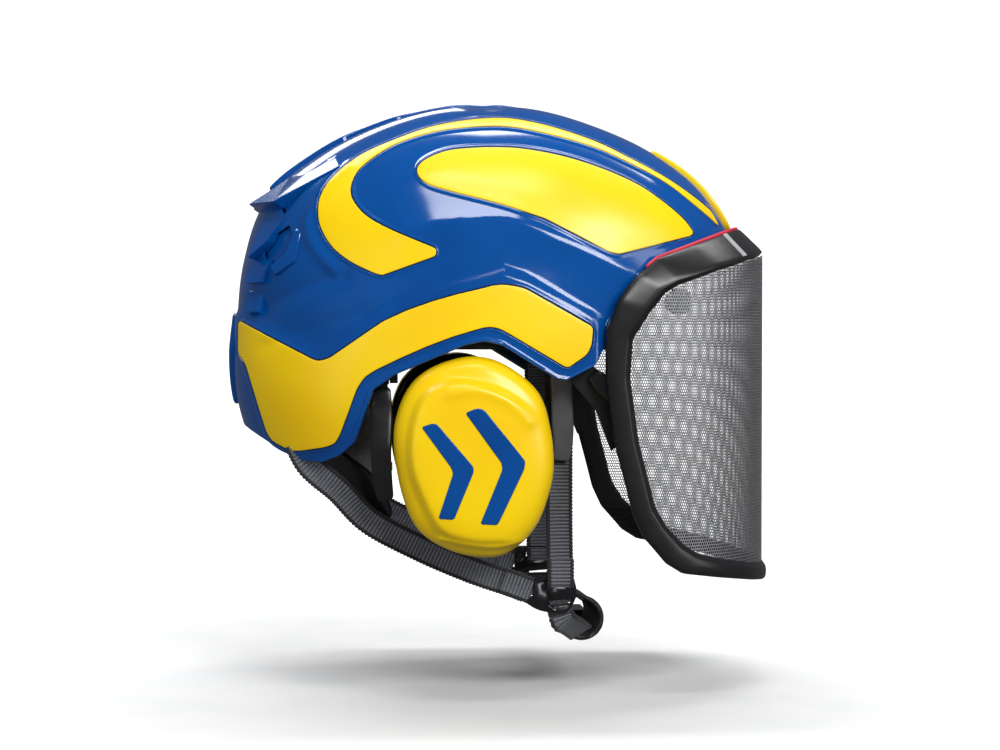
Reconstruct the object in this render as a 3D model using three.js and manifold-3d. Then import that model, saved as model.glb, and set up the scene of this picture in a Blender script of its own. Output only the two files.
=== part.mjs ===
// Forestry helmet: a vented outer shell on an inner shell, a tilting mesh visor, swinging ear cups,
// a ratchet headband and a webbing chin strap.
// Millimetres. +X is forward, +Y is the wearer's left, +Z is up.
// The origin is in the middle plane, 8 mm in front of the head's centre and 6 mm below the headband.
import * as THREE from "three";
import { mergeVertices } from "three/addons/utils/BufferGeometryUtils.js";
import Module from "manifold-3d";

const wasm = await Module();
wasm.setup();

// ---------------------------------------------------------------- driving dimensions
const GAP = 0.4; // clearance between pieces that touch
const SHELL_CENTRE = 20; // height of the point that the shell's radii are measured from
const RADII_FROM = -45; // elevation in degrees of the first radius below
const RADII_STEP = 15;
const LOWEST = -50; // elevation in degrees where the dome's surface starts
const FRONT_RADII = [172, 160, 154, 153.5, 157, 153.5, 143.5, 135, 131, 129];
const REAR_RADII = [166, 154, 149.5, 145, 146, 147.5, 139.5, 133, 129.5, 129];
const SIDE_RADII = [141, 120.5, 109, 104, 105, 110.5, 117, 123.5, 128, 129];
const SHELL_WALL = 3;
const INLAY = 1.2; // thickness of the coloured panels on the shell
const INNER_SHELL_DEPTH = 15;
const INNER_SHELL_WALL = 3;

const HEAD_X = -8; // centre of the head ellipse
const HEAD_LENGTH = 188;
const HEAD_WIDTH = 156;
const BAND_LOW = 6; // headband's lower and upper edge
const BAND_HIGH = 34;
const BAND_WALL = 2;

const PIVOT = [38, 29]; // visor pivot, x and z
const PIVOT_PIN = 4;
const VISOR_BACK = 60; // where the visor's plan curve starts
const VISOR_LENGTH = 108.5;
const VISOR_HALF_WIDTH = 105;
const VISOR_POWER = 2.4;
const FRAME_WALL = 5.5;
const MESH_WALL = 0.8;

const CUP_CENTRE = [-11, -52]; // ear cup centre, x and z
const TILT_HEIGHT = -58; // height of the pin that the cup tilts on

const WEBBING = 15;
const WEBBING_WALL = 1.6;

// ---------------------------------------------------------------- colours
const finish = (color, roughness, metalness = 0) =>
  new THREE.MeshStandardMaterial({ color, roughness, metalness });
const BLUE = finish("#004b93", 0.25);
const YELLOW = finish("#ffdb00", 0.3);
const BLACK = finish("#2c2c2e", 0.45);
const DARK = finish("#1e1e20", 0.6);
const GREY = finish("#77787c", 0.5);
const RED = finish("#d2213f", 0.5);
const FABRIC = finish("#4a4b50", 0.9);
const FELT = finish("#6b6868", 1);
const FOAM = finish("#303034", 1);
const STEEL = finish("#8a8c90", 0.35, 0.9);

const helmet = new THREE.Group();

// ---------------------------------------------------------------- solids and meshes
function flipped(geometry) {
  const g = geometry.clone();
  const order = g.index.array;
  for (let i = 0; i < order.length; i += 3) {
    [order[i + 1], order[i + 2]] = [order[i + 2], order[i + 1]];
  }
  return g;
}

function merged(geometry) {
  const g = geometry.clone();
  g.deleteAttribute("normal");
  g.deleteAttribute("uv");
  return mergeVertices(g, 1e-4);
}

function solid(geometry) {
  const g = merged(geometry);
  const mesh = (m) =>
    new wasm.Manifold(
      new wasm.Mesh({
        numProp: 3,
        vertProperties: new Float32Array(m.attributes.position.array),
        triVerts: new Uint32Array(m.index.array),
      }),
    );
  const made = mesh(g);
  return made.volume() < 0 ? mesh(flipped(g)) : made;
}

function geometryOf(body) {
  const m = body.getMesh();
  const positions = new Float32Array(m.numVert * 3);
  for (let i = 0; i < m.numVert; i++) {
    positions.set(m.vertProperties.subarray(i * m.numProp, i * m.numProp + 3), i * 3);
  }
  const g = new THREE.BufferGeometry();
  g.setAttribute("position", new THREE.BufferAttribute(positions, 3));
  g.setIndex(new THREE.BufferAttribute(new Uint32Array(m.triVerts), 1));
  return g;
}

function add(name, body, material) {
  const mesh = new THREE.Mesh(geometryOf(body), material);
  mesh.name = name;
  helmet.add(mesh);
}

// The mirror image in the middle plane.
function mirrored(body) {
  const g = flipped(geometryOf(body));
  g.scale(1, -1, 1);
  return solid(g);
}

// Adds a piece of the wearer's right side and its mirror image.
function addPair(name, body, material) {
  add(name + "_right", body, material);
  add(name + "_left", mirrored(body), material);
}

// A closed body through rings of equal length: joined end to start, or with a fan to a hub at each end.
function skin(rings, { joined = false, hubs = [] } = {}) {
  const count = rings[0].length;
  const positions = rings.flat().flatMap((p) => [p.x, p.y, p.z]);
  const faces = [];
  const bands = joined ? rings.length : rings.length - 1;
  for (let i = 0; i < bands; i++) {
    const a = i * count;
    const b = ((i + 1) % rings.length) * count;
    for (let j = 0; j < count; j++) {
      const k = (j + 1) % count;
      faces.push(a + j, b + j, b + k, a + j, b + k, a + k);
    }
  }
  const centre = (ring) => ring.reduce((sum, p) => sum.add(p), new THREE.Vector3()).divideScalar(count);
  const fan = (ring, start, hub, turned) => {
    const middle = hub ?? centre(ring);
    const h = positions.length / 3;
    positions.push(middle.x, middle.y, middle.z);
    for (let j = 0; j < count; j++) {
      const k = (j + 1) % count;
      faces.push(...(turned ? [h, start + k, start + j] : [h, start + j, start + k]));
    }
  };
  if (!joined) {
    fan(rings[0], 0, hubs[0], false);
    fan(rings.at(-1), (rings.length - 1) * count, hubs[1], true);
  }
  const g = new THREE.BufferGeometry();
  g.setAttribute("position", new THREE.Float32BufferAttribute(positions, 3));
  g.setIndex(faces);
  return solid(g);
}

// A closed outline, straight between its [a, b] points.
function outline(points) {
  return new THREE.Shape(points.map(([a, b]) => new THREE.Vector2(a, b)));
}

// A side-view outline (x, z) made solid from y = low to y = high.
function sidePrism(shape, low, high, curveSegments = 4) {
  const g = new THREE.ExtrudeGeometry(shape, { depth: high - low, bevelEnabled: false, curveSegments });
  g.rotateX(Math.PI / 2);
  g.translate(0, high, 0);
  return solid(g);
}

// A plan-view outline (x, y) made solid from z = low to z = high.
function planPrism(shape, low, high) {
  const g = new THREE.ExtrudeGeometry(shape, { depth: high - low, bevelEnabled: false, curveSegments: 4 });
  g.translate(0, 0, low);
  return solid(g);
}

// A front-view outline (y, z) made solid from x = low to x = high.
function frontPrism(shape, low, high) {
  const g = new THREE.ExtrudeGeometry(shape, { depth: high - low, bevelEnabled: false, curveSegments: 4 });
  g.rotateX(Math.PI / 2);
  g.rotateZ(Math.PI / 2);
  g.translate(low, 0, 0);
  return solid(g);
}

function box(x0, x1, y0, y1, z0, z1) {
  const g = new THREE.BoxGeometry(x1 - x0, y1 - y0, z1 - z0);
  g.translate((x0 + x1) / 2, (y0 + y1) / 2, (z0 + z1) / 2);
  return solid(g);
}

// A round pin between two y values at (x, z).
function pinAlongY(x, z, radius, y0, y1, sides = 24) {
  const g = new THREE.CylinderGeometry(radius, radius, Math.abs(y1 - y0), sides);
  g.translate(x, (y0 + y1) / 2, z);
  return solid(g);
}

// A round pin between two x values at (y, z).
function pinAlongX(y, z, radius, x0, x1, sides = 24) {
  const g = new THREE.CylinderGeometry(radius, radius, Math.abs(x1 - x0), sides);
  g.rotateZ(Math.PI / 2);
  g.translate((x0 + x1) / 2, y, z);
  return solid(g);
}

// A flat band along a smooth path. Each station is {at, across}: a point and the direction of the width.
function strip(stations, width, wall, steps) {
  const path = new THREE.CatmullRomCurve3(stations.map((s) => new THREE.Vector3(...s.at)));
  const acrossPath = new THREE.CatmullRomCurve3(stations.map((s) => new THREE.Vector3(...s.across)));
  const rings = [];
  for (let i = 0; i <= steps; i++) {
    const t = i / steps;
    const p = path.getPoint(t);
    const along = path.getTangent(t);
    const across = acrossPath.getPoint(t);
    across.addScaledVector(along, -across.dot(along)).normalize();
    const normal = new THREE.Vector3().crossVectors(along, across);
    const corner = (a, b) =>
      p.clone().addScaledVector(across, (a * width) / 2).addScaledVector(normal, (b * wall) / 2);
    rings.push([corner(-1, -1), corner(1, -1), corner(1, 1), corner(-1, 1)]);
  }
  return skin(rings);
}

// ---------------------------------------------------------------- the shell's surface
// A smooth value between the radii that are listed every RADII_STEP degrees.
function radiusAt(radii, elevation) {
  const t = (elevation - RADII_FROM) / RADII_STEP;
  const i = Math.min(Math.max(Math.floor(t), 0), radii.length - 1);
  const f = t - i;
  const at = (k) => (k >= radii.length ? radii[2 * radii.length - 2 - k] : radii[Math.max(k, 0)]);
  const [a, b, c, d] = [at(i - 1), at(i), at(i + 1), at(i + 2)];
  return 0.5 * (2 * b + (c - a) * f + (2 * a - 5 * b + 4 * c - d) * f * f + (3 * b - a - 3 * c + d) * f ** 3);
}

// The shell's radius in a direction, with superelliptic cross sections.
function shellRadius(azimuth, elevation) {
  const power = 2 + 0.28 * Math.cos(elevation);
  const degrees = THREE.MathUtils.radToDeg(elevation);
  const lengthways = radiusAt(Math.cos(azimuth) >= 0 ? FRONT_RADII : REAR_RADII, degrees);
  const sideways = radiusAt(SIDE_RADII, degrees);
  const sum =
    (Math.abs(Math.cos(azimuth)) / lengthways) ** power + (Math.abs(Math.sin(azimuth)) / sideways) ** power;
  return sum ** (-1 / power);
}

function shellPoint(azimuth, elevation, offset) {
  const r = shellRadius(azimuth, elevation) + offset;
  return new THREE.Vector3(
    r * Math.cos(elevation) * Math.cos(azimuth),
    r * Math.cos(elevation) * Math.sin(azimuth),
    SHELL_CENTRE + r * Math.sin(elevation),
  );
}

// The whole dome as a solid, its surface moved out by an offset.
function dome(offset, around = 48, rows = 12) {
  const rings = [];
  for (let i = 0; i < rows; i++) {
    const elevation = THREE.MathUtils.degToRad(LOWEST + ((90 - LOWEST) * i) / rows);
    const ring = [];
    for (let j = 0; j < around; j++) {
      ring.push(shellPoint((2 * Math.PI * j) / around, elevation, offset));
    }
    rings.push(ring);
  }
  return skin(rings, { hubs: [undefined, shellPoint(0, Math.PI / 2, offset)] });
}

// A layer that follows the shell's surface between two offsets.
function layer(inner, outer, around, rows) {
  return dome(outer, around, rows).subtract(dome(inner, around, rows));
}

const RIGHT_SIDE = [-250, -1];

// ---------------------------------------------------------------- shells
// Everything above the shell's lower edge, in side view: tail, side, arch over the ear cup, temple, brim.
const SHELL_EDGE = [
  [-180, -20], [-146, -36], [-122, -49], [-105, -56.5], [-94, -57], [-84, -53], [-76, -45.5],
  [-66, -16.5], [-54, -8], [-15, 8.5], [-5, 10.5], [5, 8.5], [35, -10], [41, -11], [57, -3],
  [62, 6], [62, 17], [80.5, 45.5], [89, 54], [118, 61], [150, 67], [180, 70], [180, 200], [-180, 200],
];
const INNER_EDGE = [
  [-180, 4], [-112, -6], [-84, -6], [-66, 14], [14, 14], [26, 52], [60, 60], [89, 68], [180, 82],
  [180, 200], [-180, 200],
];
// The rear vents' holes in side view, in the corner order rear top, front top, front bottom, rear bottom.
const VENTS = [
  { name: "upper", hole: [[-121, 92], [-107, 105], [-103, 97], [-115, 83]] },
  { name: "lower", hole: [[-128, 66], [-112, 76], [-108, 64], [-124, 52]] },
];

function ventHole(hole) {
  return sidePrism(outline(hole), ...RIGHT_SIDE).intersect(box(-180, 0, -200, -16, 0, 200));
}

// The raised step at the middle of the tail, below the vents, moulded with the shell.
function tailStep() {
  const shape = outline([[-9, 26], [9, 26], [21, 4], [17, -22], [-17, -22], [-21, 4]]);
  return layer(-SHELL_WALL / 2, 3).intersect(frontPrism(shape, -200, -60));
}

function outerShell() {
  let shell = layer(-SHELL_WALL, 0).intersect(sidePrism(outline(SHELL_EDGE), -200, 200));
  for (const { hole } of VENTS) {
    const cut = ventHole(hole);
    shell = shell.subtract(cut).subtract(mirrored(cut));
  }
  return shell.add(tailStep());
}

function innerShell() {
  const wall = layer(-INNER_SHELL_DEPTH - INNER_SHELL_WALL, -INNER_SHELL_DEPTH, 32, 9);
  return wall.intersect(sidePrism(outline(INNER_EDGE), -200, 200));
}

// A coloured panel cut from a layer just above the shell, on the side's sign of y.
function inlay(shape, side, { wall = INLAY, clear = 1, curveSegments = 1 } = {}) {
  const [low, high] = side < 0 ? [-250, -clear] : [clear, 250];
  return layer(GAP, GAP + wall).intersect(sidePrism(shape, low, high, curveSegments));
}

function addInlays(name, build, material) {
  add(name + "_right", build(-1), material);
  add(name + "_left", build(1), material);
}

function sideBand(side) {
  const shape = new THREE.Shape();
  shape.moveTo(-150, 22.5);
  shape.lineTo(-142, 22.5);
  shape.lineTo(-98, 0.5);
  shape.quadraticCurveTo(-94, -1, -89, 1.5);
  shape.lineTo(-60, 21.5);
  shape.quadraticCurveTo(-33, 33.5, -6, 39.5);
  shape.quadraticCurveTo(6, 44, 18, 39.5);
  shape.lineTo(55.5, 18.5);
  shape.lineTo(54.5, 8.5);
  shape.lineTo(52, 3.5);
  shape.lineTo(41, -4);
  shape.lineTo(8, 15.5);
  shape.quadraticCurveTo(0, 20, -8, 17.5);
  shape.quadraticCurveTo(-34, 10.5, -64, -5);
  shape.quadraticCurveTo(-71, -8.5, -74, -15);
  shape.lineTo(-83.5, -41);
  shape.quadraticCurveTo(-86, -47, -92, -48);
  shape.lineTo(-106, -50.5);
  shape.quadraticCurveTo(-111, -51, -116, -48.5);
  shape.quadraticCurveTo(-123, -46, -125, -41);
  shape.lineTo(-137, -3);
  shape.lineTo(-142, 3.5);
  shape.lineTo(-150, 8);
  return inlay(shape, side, { wall: 1.8, clear: 26, curveSegments: 3 });
}

function crownStripe(side) {
  const shape = new THREE.Shape();
  shape.moveTo(131, 86);
  shape.splineThru(
    [[119, 94], [102, 104.5], [80.5, 115.5], [59.5, 125.5], [28, 135.5], [4, 138.5], [-28, 133.5],
      [-53, 124.5], [-73, 115], [-87, 103], [-94, 92.5], [-95.5, 83], [-93.5, 73], [-87, 62.5],
      [-77, 54.5], [-65, 48.5], [-60, 47]].map((p) => new THREE.Vector2(...p)),
  );
  shape.lineTo(-30.5, 57.5);
  shape.lineTo(-30.5, 61.5);
  shape.splineThru(
    [[-54, 71.5], [-68, 79.5], [-75.5, 88], [-77.5, 95.5], [-74.5, 104.5], [-67.5, 112], [-53, 121.5],
      [-33.5, 128.5], [-14, 132], [7.5, 133.2], [28, 130], [59, 121.5], [80, 112.5], [101.5, 101.5],
      [118.5, 89.5], [136, 77]].map((p) => new THREE.Vector2(...p)),
  );
  return inlay(shape, side);
}

function leafPanel(side) {
  const shape = new THREE.Shape();
  shape.moveTo(-40, 105.5);
  shape.splineThru(
    [[-36.5, 111], [-24.5, 117], [-10, 119], [6.5, 119.5], [21, 118.5], [42, 114.5], [63, 108], [84, 99],
      [100, 88.5], [111, 79.5], [116.5, 72.5]].map((p) => new THREE.Vector2(...p)),
  );
  shape.lineTo(115, 70.5);
  shape.lineTo(71, 59);
  shape.lineTo(65.5, 60);
  shape.lineTo(29.5, 78.5);
  shape.splineThru([[5, 86.5], [-25, 94.5], [-36.5, 100]].map((p) => new THREE.Vector2(...p)));
  return inlay(shape, side);
}

function badgePanel() {
  const half = [[100, 0], [100, 9], [108, 15], [134, 24], [146, 22], [149, 10], [149.5, 0]];
  const shape = outline([...half, ...half.slice(1, -1).reverse().map(([x, y]) => [x, -y])]);
  return layer(GAP, GAP + 2.4).intersect(planPrism(shape, 60, 160));
}

const SPINE_HALF_WIDTH = 11;
const SPINE_REAR = -112;
const SPINE_STEPS = [[8, 1.2], [-20, 2.2], [-54, 3.2], [-86, 4.2]]; // where each step starts, and its rise

// The ridge along the crown, from the top to the upper vents, with overlapping steps.
function crownSpine() {
  const half = SPINE_HALF_WIDTH;
  const steps = SPINE_STEPS.map(([start, rise]) => {
    const shape = outline([
      [start, -half], [start + 14, 0], [start, half], [SPINE_REAR, half], [SPINE_REAR, -half],
    ]);
    return layer(GAP, GAP + rise).intersect(planPrism(shape, 90, 170));
  });
  return steps.reduce((spine, step) => spine.add(step));
}

// A hood over a rear vent: it is larger than the hole, and open towards the rear.
function ventCowl(hole) {
  const shape = outline(hole.map(([x, z], i) => [x + (i === 0 || i === 3 ? -7 : 7), z + (i < 2 ? 4 : -4)]));
  const roof = layer(GAP, GAP + 5.5).intersect(sidePrism(shape, -250, -14));
  const tunnel = layer(-2, GAP + 3).intersect(
    sidePrism(outline(hole.map(([x, z], i) => [x + (i === 0 || i === 3 ? -14 : 0), z])), -250, -17),
  );
  return roof.subtract(tunnel);
}

// ---------------------------------------------------------------- headband and nape
// An upright ring that follows the head's ellipse, from z = low to z = high.
function headRing(inner, outer, low, high) {
  const oval = (grow) =>
    new THREE.Path().absellipse(HEAD_X, 0, HEAD_LENGTH / 2 + grow, HEAD_WIDTH / 2 + grow, 0, 2 * Math.PI);
  const shape = new THREE.Shape(oval(outer).getPoints(20));
  shape.holes.push(new THREE.Path(oval(inner).getPoints(20)));
  return planPrism(shape, low, high);
}

function headband() {
  return headRing(0, BAND_WALL, BAND_LOW, BAND_HIGH).intersect(box(-66, 120, -100, 100, 0, 50));
}

function foreheadPad() {
  return headRing(-4.4, -GAP, BAND_LOW - 1, BAND_HIGH + 1).intersect(box(35, 120, -90, 90, 0, 50));
}

const YOKE_SIDE = [
  [-48, 31], [-140, 31], [-140, -52], [-100, -60], [-82, -70], [-62, -90], [-54, -88],
  [-58, -74], [-65, -48], [-76, -20], [-70, 0], [-48, 9],
];

function napeYoke() {
  return headRing(4.8, 7, -95, 31).intersect(sidePrism(outline(YOKE_SIDE), -120, 120));
}

function napePad() {
  const side = outline([
    [-130, -6], [-84, -6], [-68, -20], [-60, -46], [-54, -70], [-62, -78], [-98, -54], [-130, -48],
  ]);
  return headRing(0.4, 4.4, -95, 31).intersect(sidePrism(side, -120, 120));
}

const RATCHET_Z = -30;
const RATCHET_X = -109.5; // the yoke's rear face

function ratchetHousing() {
  return frontPrism(roundedBox(40, 26, 8, [0, RATCHET_Z]), RATCHET_X - 11, RATCHET_X - 0.2);
}

function ratchetKnob() {
  const shape = new THREE.Shape();
  const lobes = 16;
  for (let i = 0; i < lobes * 2; i++) {
    const a = (Math.PI * i) / lobes;
    const r = i % 2 ? 14.6 : 15.8;
    shape[i ? "lineTo" : "moveTo"](r * Math.cos(a), RATCHET_Z + r * Math.sin(a));
  }
  return frontPrism(shape, RATCHET_X - 19.5, RATCHET_X - 11.4);
}

function roundedBox(width, height, radius, [cx, cy]) {
  const [w, h] = [width / 2, height / 2];
  const shape = new THREE.Shape();
  shape.absarc(cx + w - radius, cy + h - radius, radius, 0, Math.PI / 2);
  shape.absarc(cx - w + radius, cy + h - radius, radius, Math.PI / 2, Math.PI);
  shape.absarc(cx - w + radius, cy - h + radius, radius, Math.PI, 1.5 * Math.PI);
  shape.absarc(cx + w - radius, cy - h + radius, radius, 1.5 * Math.PI, 2 * Math.PI);
  return shape;
}

const CRADLE_WIDTH = 22;

// The two straps over the crown, joined where they cross.
function crownCradle() {
  const front = [[82, 36], [60, 84], [-8, 114], [-70, 84], [-98, 36]];
  const right = [[-74, 36], [-58, 84], [0, 114], [58, 84], [74, 36]];
  const lengthways = front.map(([x, z]) => ({ at: [x, 0, z], across: [0, 1, 0] }));
  const sideways = right.map(([y, z]) => ({ at: [HEAD_X, y, z], across: [1, 0, 0] }));
  const [first, second] = [lengthways, sideways].map((s) => strip(s, CRADLE_WIDTH, WEBBING_WALL, 16));
  return first.add(second);
}

// ---------------------------------------------------------------- visor
function visorHalfWidth(x) {
  const t = Math.min(Math.max((x - VISOR_BACK) / VISOR_LENGTH, 0), 1);
  return VISOR_HALF_WIDTH * (1 - t ** VISOR_POWER) ** (1 / VISOR_POWER);
}

// The direction towards the head, square to the visor's plan curve, on the right side.
function visorInward(x, y) {
  const a = Math.max((x - VISOR_BACK) / VISOR_LENGTH, 0) ** (VISOR_POWER - 1) / VISOR_LENGTH;
  const b = (Math.abs(y) / VISOR_HALF_WIDTH) ** (VISOR_POWER - 1) / VISOR_HALF_WIDTH;
  return new THREE.Vector3(-a, Math.sign(-y) * b, 0).normalize();
}

// The frame's outer and inner edge on the right side, from the brow's middle to the chin's middle.
// The brow's outer edge leans back onto the shell, so it has its own y; the rest follows the plan curve.
const BROW_EDGE = [
  [152.8, 0, 78], [149, -29, 77], [138.5, -54, 74], [115.5, -78, 66], [92, -94, 57.5], [80, -101, 48],
];
const OUTER_EDGE = [
  [69.5, 34], [62.6, 17], [62.5, -11], [68, -47.5], [78, -85], [84, -97.5], [97.5, -112.5],
  [107.5, -118.5], [130, -122], [152, -126], [164, -129], [168.5, -130],
];
const INNER_EDGE_OF_FRAME = [
  [168.5, 61], [164, 60], [152, 56.5], [130, 50], [106, 42], [97, 37],
  [88, 27], [78, 12], [76.5, -10], [81.5, -45], [91, -81], [98, -92], [108, -102],
  [117, -107.5], [131, -111], [152, -115.5], [164, -118], [168.5, -119],
];

function frameSections() {
  const outer = [...BROW_EDGE, ...OUTER_EDGE.map(([x, z]) => [x, -visorHalfWidth(x), z])];
  const inner = INNER_EDGE_OF_FRAME.map(([x, z]) => [x, -visorHalfWidth(x), z]);
  return outer.map((o, i) => {
    const front = new THREE.Vector3(...o);
    const lip = new THREE.Vector3(...inner[i]);
    const lipBack = lip.clone().addScaledVector(visorInward(lip.x, lip.y), FRAME_WALL);
    const back =
      i < BROW_EDGE.length
        ? front.clone().add(new THREE.Vector3(0, 0, -3))
        : front.clone().addScaledVector(visorInward(front.x, front.y), FRAME_WALL);
    return [front, lip, lipBack, back];
  });
}

// A half ring of sections on the right and its mirror image, joined into one closed ring.
function wholeRing(sections) {
  const left = sections
    .slice(1, -1)
    .reverse()
    .map((ring) => ring.map((p) => new THREE.Vector3(p.x, -p.y, p.z)));
  return skin([...sections, ...left], { joined: true });
}

function visorFrame() {
  return wholeRing(frameSections());
}

function heightOfEdge(points, x) {
  for (let i = 0; i + 1 < points.length; i++) {
    const [[a, za], [b, zb]] = [points[i], points[i + 1]];
    if ((x - a) * (x - b) <= 0 && a !== b) {
      return za + ((zb - za) * (x - a)) / (b - a);
    }
  }
  return points.at(-1)[1];
}

function visorMesh() {
  const rear = INNER_EDGE_OF_FRAME.findIndex(([, z]) => z === -10);
  const upper = INNER_EDGE_OF_FRAME.slice(0, rear + 1);
  const lower = INNER_EDGE_OF_FRAME.slice(rear);
  const firstX = 78;
  const last = Math.acos(((firstX - VISOR_BACK) / VISOR_LENGTH) ** (VISOR_POWER / 2));
  const columns = 28;
  const rings = [];
  for (let i = 0; i <= columns; i++) {
    const t = -last + (2 * last * i) / columns;
    const x = VISOR_BACK + VISOR_LENGTH * Math.cos(t) ** (2 / VISOR_POWER);
    const y = Math.sign(t) * VISOR_HALF_WIDTH * Math.abs(Math.sin(t)) ** (2 / VISOR_POWER);
    const inward = visorInward(x, y);
    const top = heightOfEdge(upper, x) - 1;
    const bottom = heightOfEdge(lower, x) + 1;
    const corner = (depth, z) => new THREE.Vector3(x, y, z).addScaledVector(inward, depth);
    const [a, b] = [2.4, 2.4 + MESH_WALL];
    rings.push([corner(a, bottom), corner(a, top), corner(b, top), corner(b, bottom)]);
  }
  return skin(rings);
}

function visorSeal() {
  const sections = BROW_EDGE.slice(0, 5).map((p) => {
    const front = new THREE.Vector3(...p);
    const inward = visorInward(front.x + 16, front.y - 6);
    const down = new THREE.Vector3(0, 0, -1);
    const at = (depth, drop) => front.clone().addScaledVector(inward, depth).addScaledVector(down, -drop);
    return [at(0.4, 0.2), at(0.4, -2.6), at(1.8, -2.6), at(1.8, 0.2)];
  });
  const left = sections.slice(1).reverse().map((ring) => ring.map((p) => new THREE.Vector3(p.x, -p.y, p.z)));
  return skin([...left, ...sections]);
}

const ARM_OUTER_Y = -91.6;
const ARM_INNER_Y = -89;

function visorArm() {
  const shape = outline([
    [29, 28], [32, 36], [40, 38], [47, 32], [57, -3], [66, -12], [73, -28], [73, -46], [67, -50],
    [58, -27], [45, -12], [33, 18],
  ]);
  const blade = sidePrism(shape, ARM_OUTER_Y, ARM_INNER_Y);
  const lug = box(66, 73, -98.7, ARM_OUTER_Y + 0.5, -44, -16);
  return blade.add(lug).subtract(pinAlongY(...PIVOT, PIVOT_PIN + 0.3, -96, -85));
}

function pivotPin() {
  const shaft = pinAlongY(...PIVOT, PIVOT_PIN, -97.2, -88);
  return shaft.add(pinAlongY(...PIVOT, 6.5, ARM_INNER_Y + GAP, ARM_INNER_Y + GAP + 2.2));
}

// ---------------------------------------------------------------- ear cups
const CUP_OUTLINE = [
  [0, 55], [18, 50], [36, 35], [43, 14], [44.5, -7], [41, -24], [34.5, -39], [24, -50],
  [11, -55.5], [-10, -52.5], [-29, -41], [-38.5, -21], [-43, 6], [-41, 24], [-33.5, 40], [-20, 51],
];
const CUP_PROFILE = [
  // distance from the middle plane, scale of the outline
  [90, 0.95], [96, 0.985], [103, 1], [110, 0.985], [115, 0.94], [118.5, 0.85], [120.7, 0.68], [121.5, 0.4],
];
const CUP_HOLLOW = [[84, 0.89], [96, 0.925], [103, 0.94], [110, 0.92], [114, 0.86], [117, 0.7]];
const CUP_SIDES = 26;

function cupRing(y, scale, sides = CUP_SIDES) {
  const curve = new THREE.CatmullRomCurve3(
    CUP_OUTLINE.map(([a, b]) => new THREE.Vector3(CUP_CENTRE[0] + a * scale, -y, CUP_CENTRE[1] + b * scale)),
    true,
  );
  return Array.from({ length: sides }, (_, i) => curve.getPoint(i / sides));
}

// The cup's outer form, its face moved out by an offset.
function cupForm(offset) {
  const grow = 1 + offset / 50;
  return skin(CUP_PROFILE.map(([y, scale]) => cupRing(y + offset, scale * grow)));
}

function cupShell() {
  return cupForm(0).subtract(skin(CUP_HOLLOW.map(([y, scale]) => cupRing(y, scale))));
}

const CHEVRONS = {
  front: [
    [-16, -27.5], [-10, -25], [-6, -25.5], [16.5, -53.5], [16, -58], [1.5, -88], [-8, -87.5], [4, -58],
    [3.5, -54.5],
  ],
  rear: [
    [-39.5, -35], [-33.5, -33], [-31, -33.5], [-11.5, -56.5], [-22, -85], [-30.5, -84.5], [-22.5, -60],
    [-23.5, -57],
  ],
};

function chevron(points) {
  const skinLayer = cupForm(GAP + 0.9).subtract(cupForm(GAP));
  return skinLayer.intersect(sidePrism(outline(points), -135, -112));
}

function ovalHole(width, height) {
  const hole = new THREE.Path();
  hole.absellipse(CUP_CENTRE[0], CUP_CENTRE[1], width, height, 0, 2 * Math.PI);
  return hole;
}

function flatRing(scale, hole, y0, y1) {
  const shape = new THREE.Shape(cupRing(0, scale).map((p) => new THREE.Vector2(p.x, p.z)));
  shape.holes.push(new THREE.Path(ovalHole(...hole).getPoints(14)));
  return sidePrism(shape, y0, y1);
}

function cupBackplate() {
  return flatRing(0.93, [25, 34], -89.6, -87.8);
}

const CUSHION_PROFILE = [
  // distance from the middle plane, scale of the outline
  [87.4, 0.9], [84, 0.93], [79, 0.92], [76, 0.84], [75.6, 0.76], [76.4, 0.64], [80, 0.58], [87.4, 0.58],
];

function earCushion() {
  return skin(CUSHION_PROFILE.map(([y, scale]) => cupRing(y, scale)), { joined: true });
}

function cupFoam() {
  return skin([[94, 0.78], [110, 0.78]].map(([y, s]) => cupRing(y, s, 20)));
}

const ARM_X = -61.5;
const SWING = [84.5, -9]; // swing hinge of the ear cup's arm: distance from the middle plane, height

// A fork fixed inside the shell, with the steel pin that the ear cup's arm swings on.
function armBlock() {
  const [y, z] = SWING;
  const body = box(ARM_X - 10, ARM_X + 10, -y - 4.5, -y + 5, z - 3.5, z + 9);
  const slot = box(ARM_X - 5.6, ARM_X + 5.6, -y - 8, -y + 8, z - 8, z + 5.2);
  return body.subtract(slot).add(pinAlongX(-y, z, 2, ARM_X - 8, ARM_X + 8, 16));
}

const PIN_Y = 95;

function cupArm() {
  const [y, z] = SWING;
  const stations = [
    [ARM_X, -y, z + 2.5], [ARM_X, -y - 0.5, z - 8], [ARM_X - 0.3, -90, z - 18], [ARM_X - 0.3, -93.5, z - 30],
    [ARM_X + 1, -PIN_Y, z - 42],
  ];
  const leg = strip(stations.map((at) => ({ at, across: [1, 0, 0] })), 9, 4.4, 10);
  const knuckle = pinAlongX(-y, z, 4.2, ARM_X - 5.2, ARM_X + 5.2, 20);
  const plate = box(ARM_X, ARM_X + 3.5, -PIN_Y - 5.5, -PIN_Y + 5.5, -75.5, -47);
  const slot = box(ARM_X - 9, ARM_X + 9, -PIN_Y - 2.8, -PIN_Y + 2.8, -71.5, TILT_HEIGHT + 2.8);
  return leg.add(knuckle).add(plate).subtract(slot).subtract(pinAlongX(-y, z, 2.3, ARM_X - 14, ARM_X + 14));
}

function cupPin() {
  const shaft = pinAlongX(-PIN_Y, TILT_HEIGHT, 2.4, ARM_X - 2, -54.6, 16);
  return shaft.add(pinAlongX(-PIN_Y, TILT_HEIGHT, 4.4, ARM_X - 3, ARM_X - 0.5, 16));
}

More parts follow.
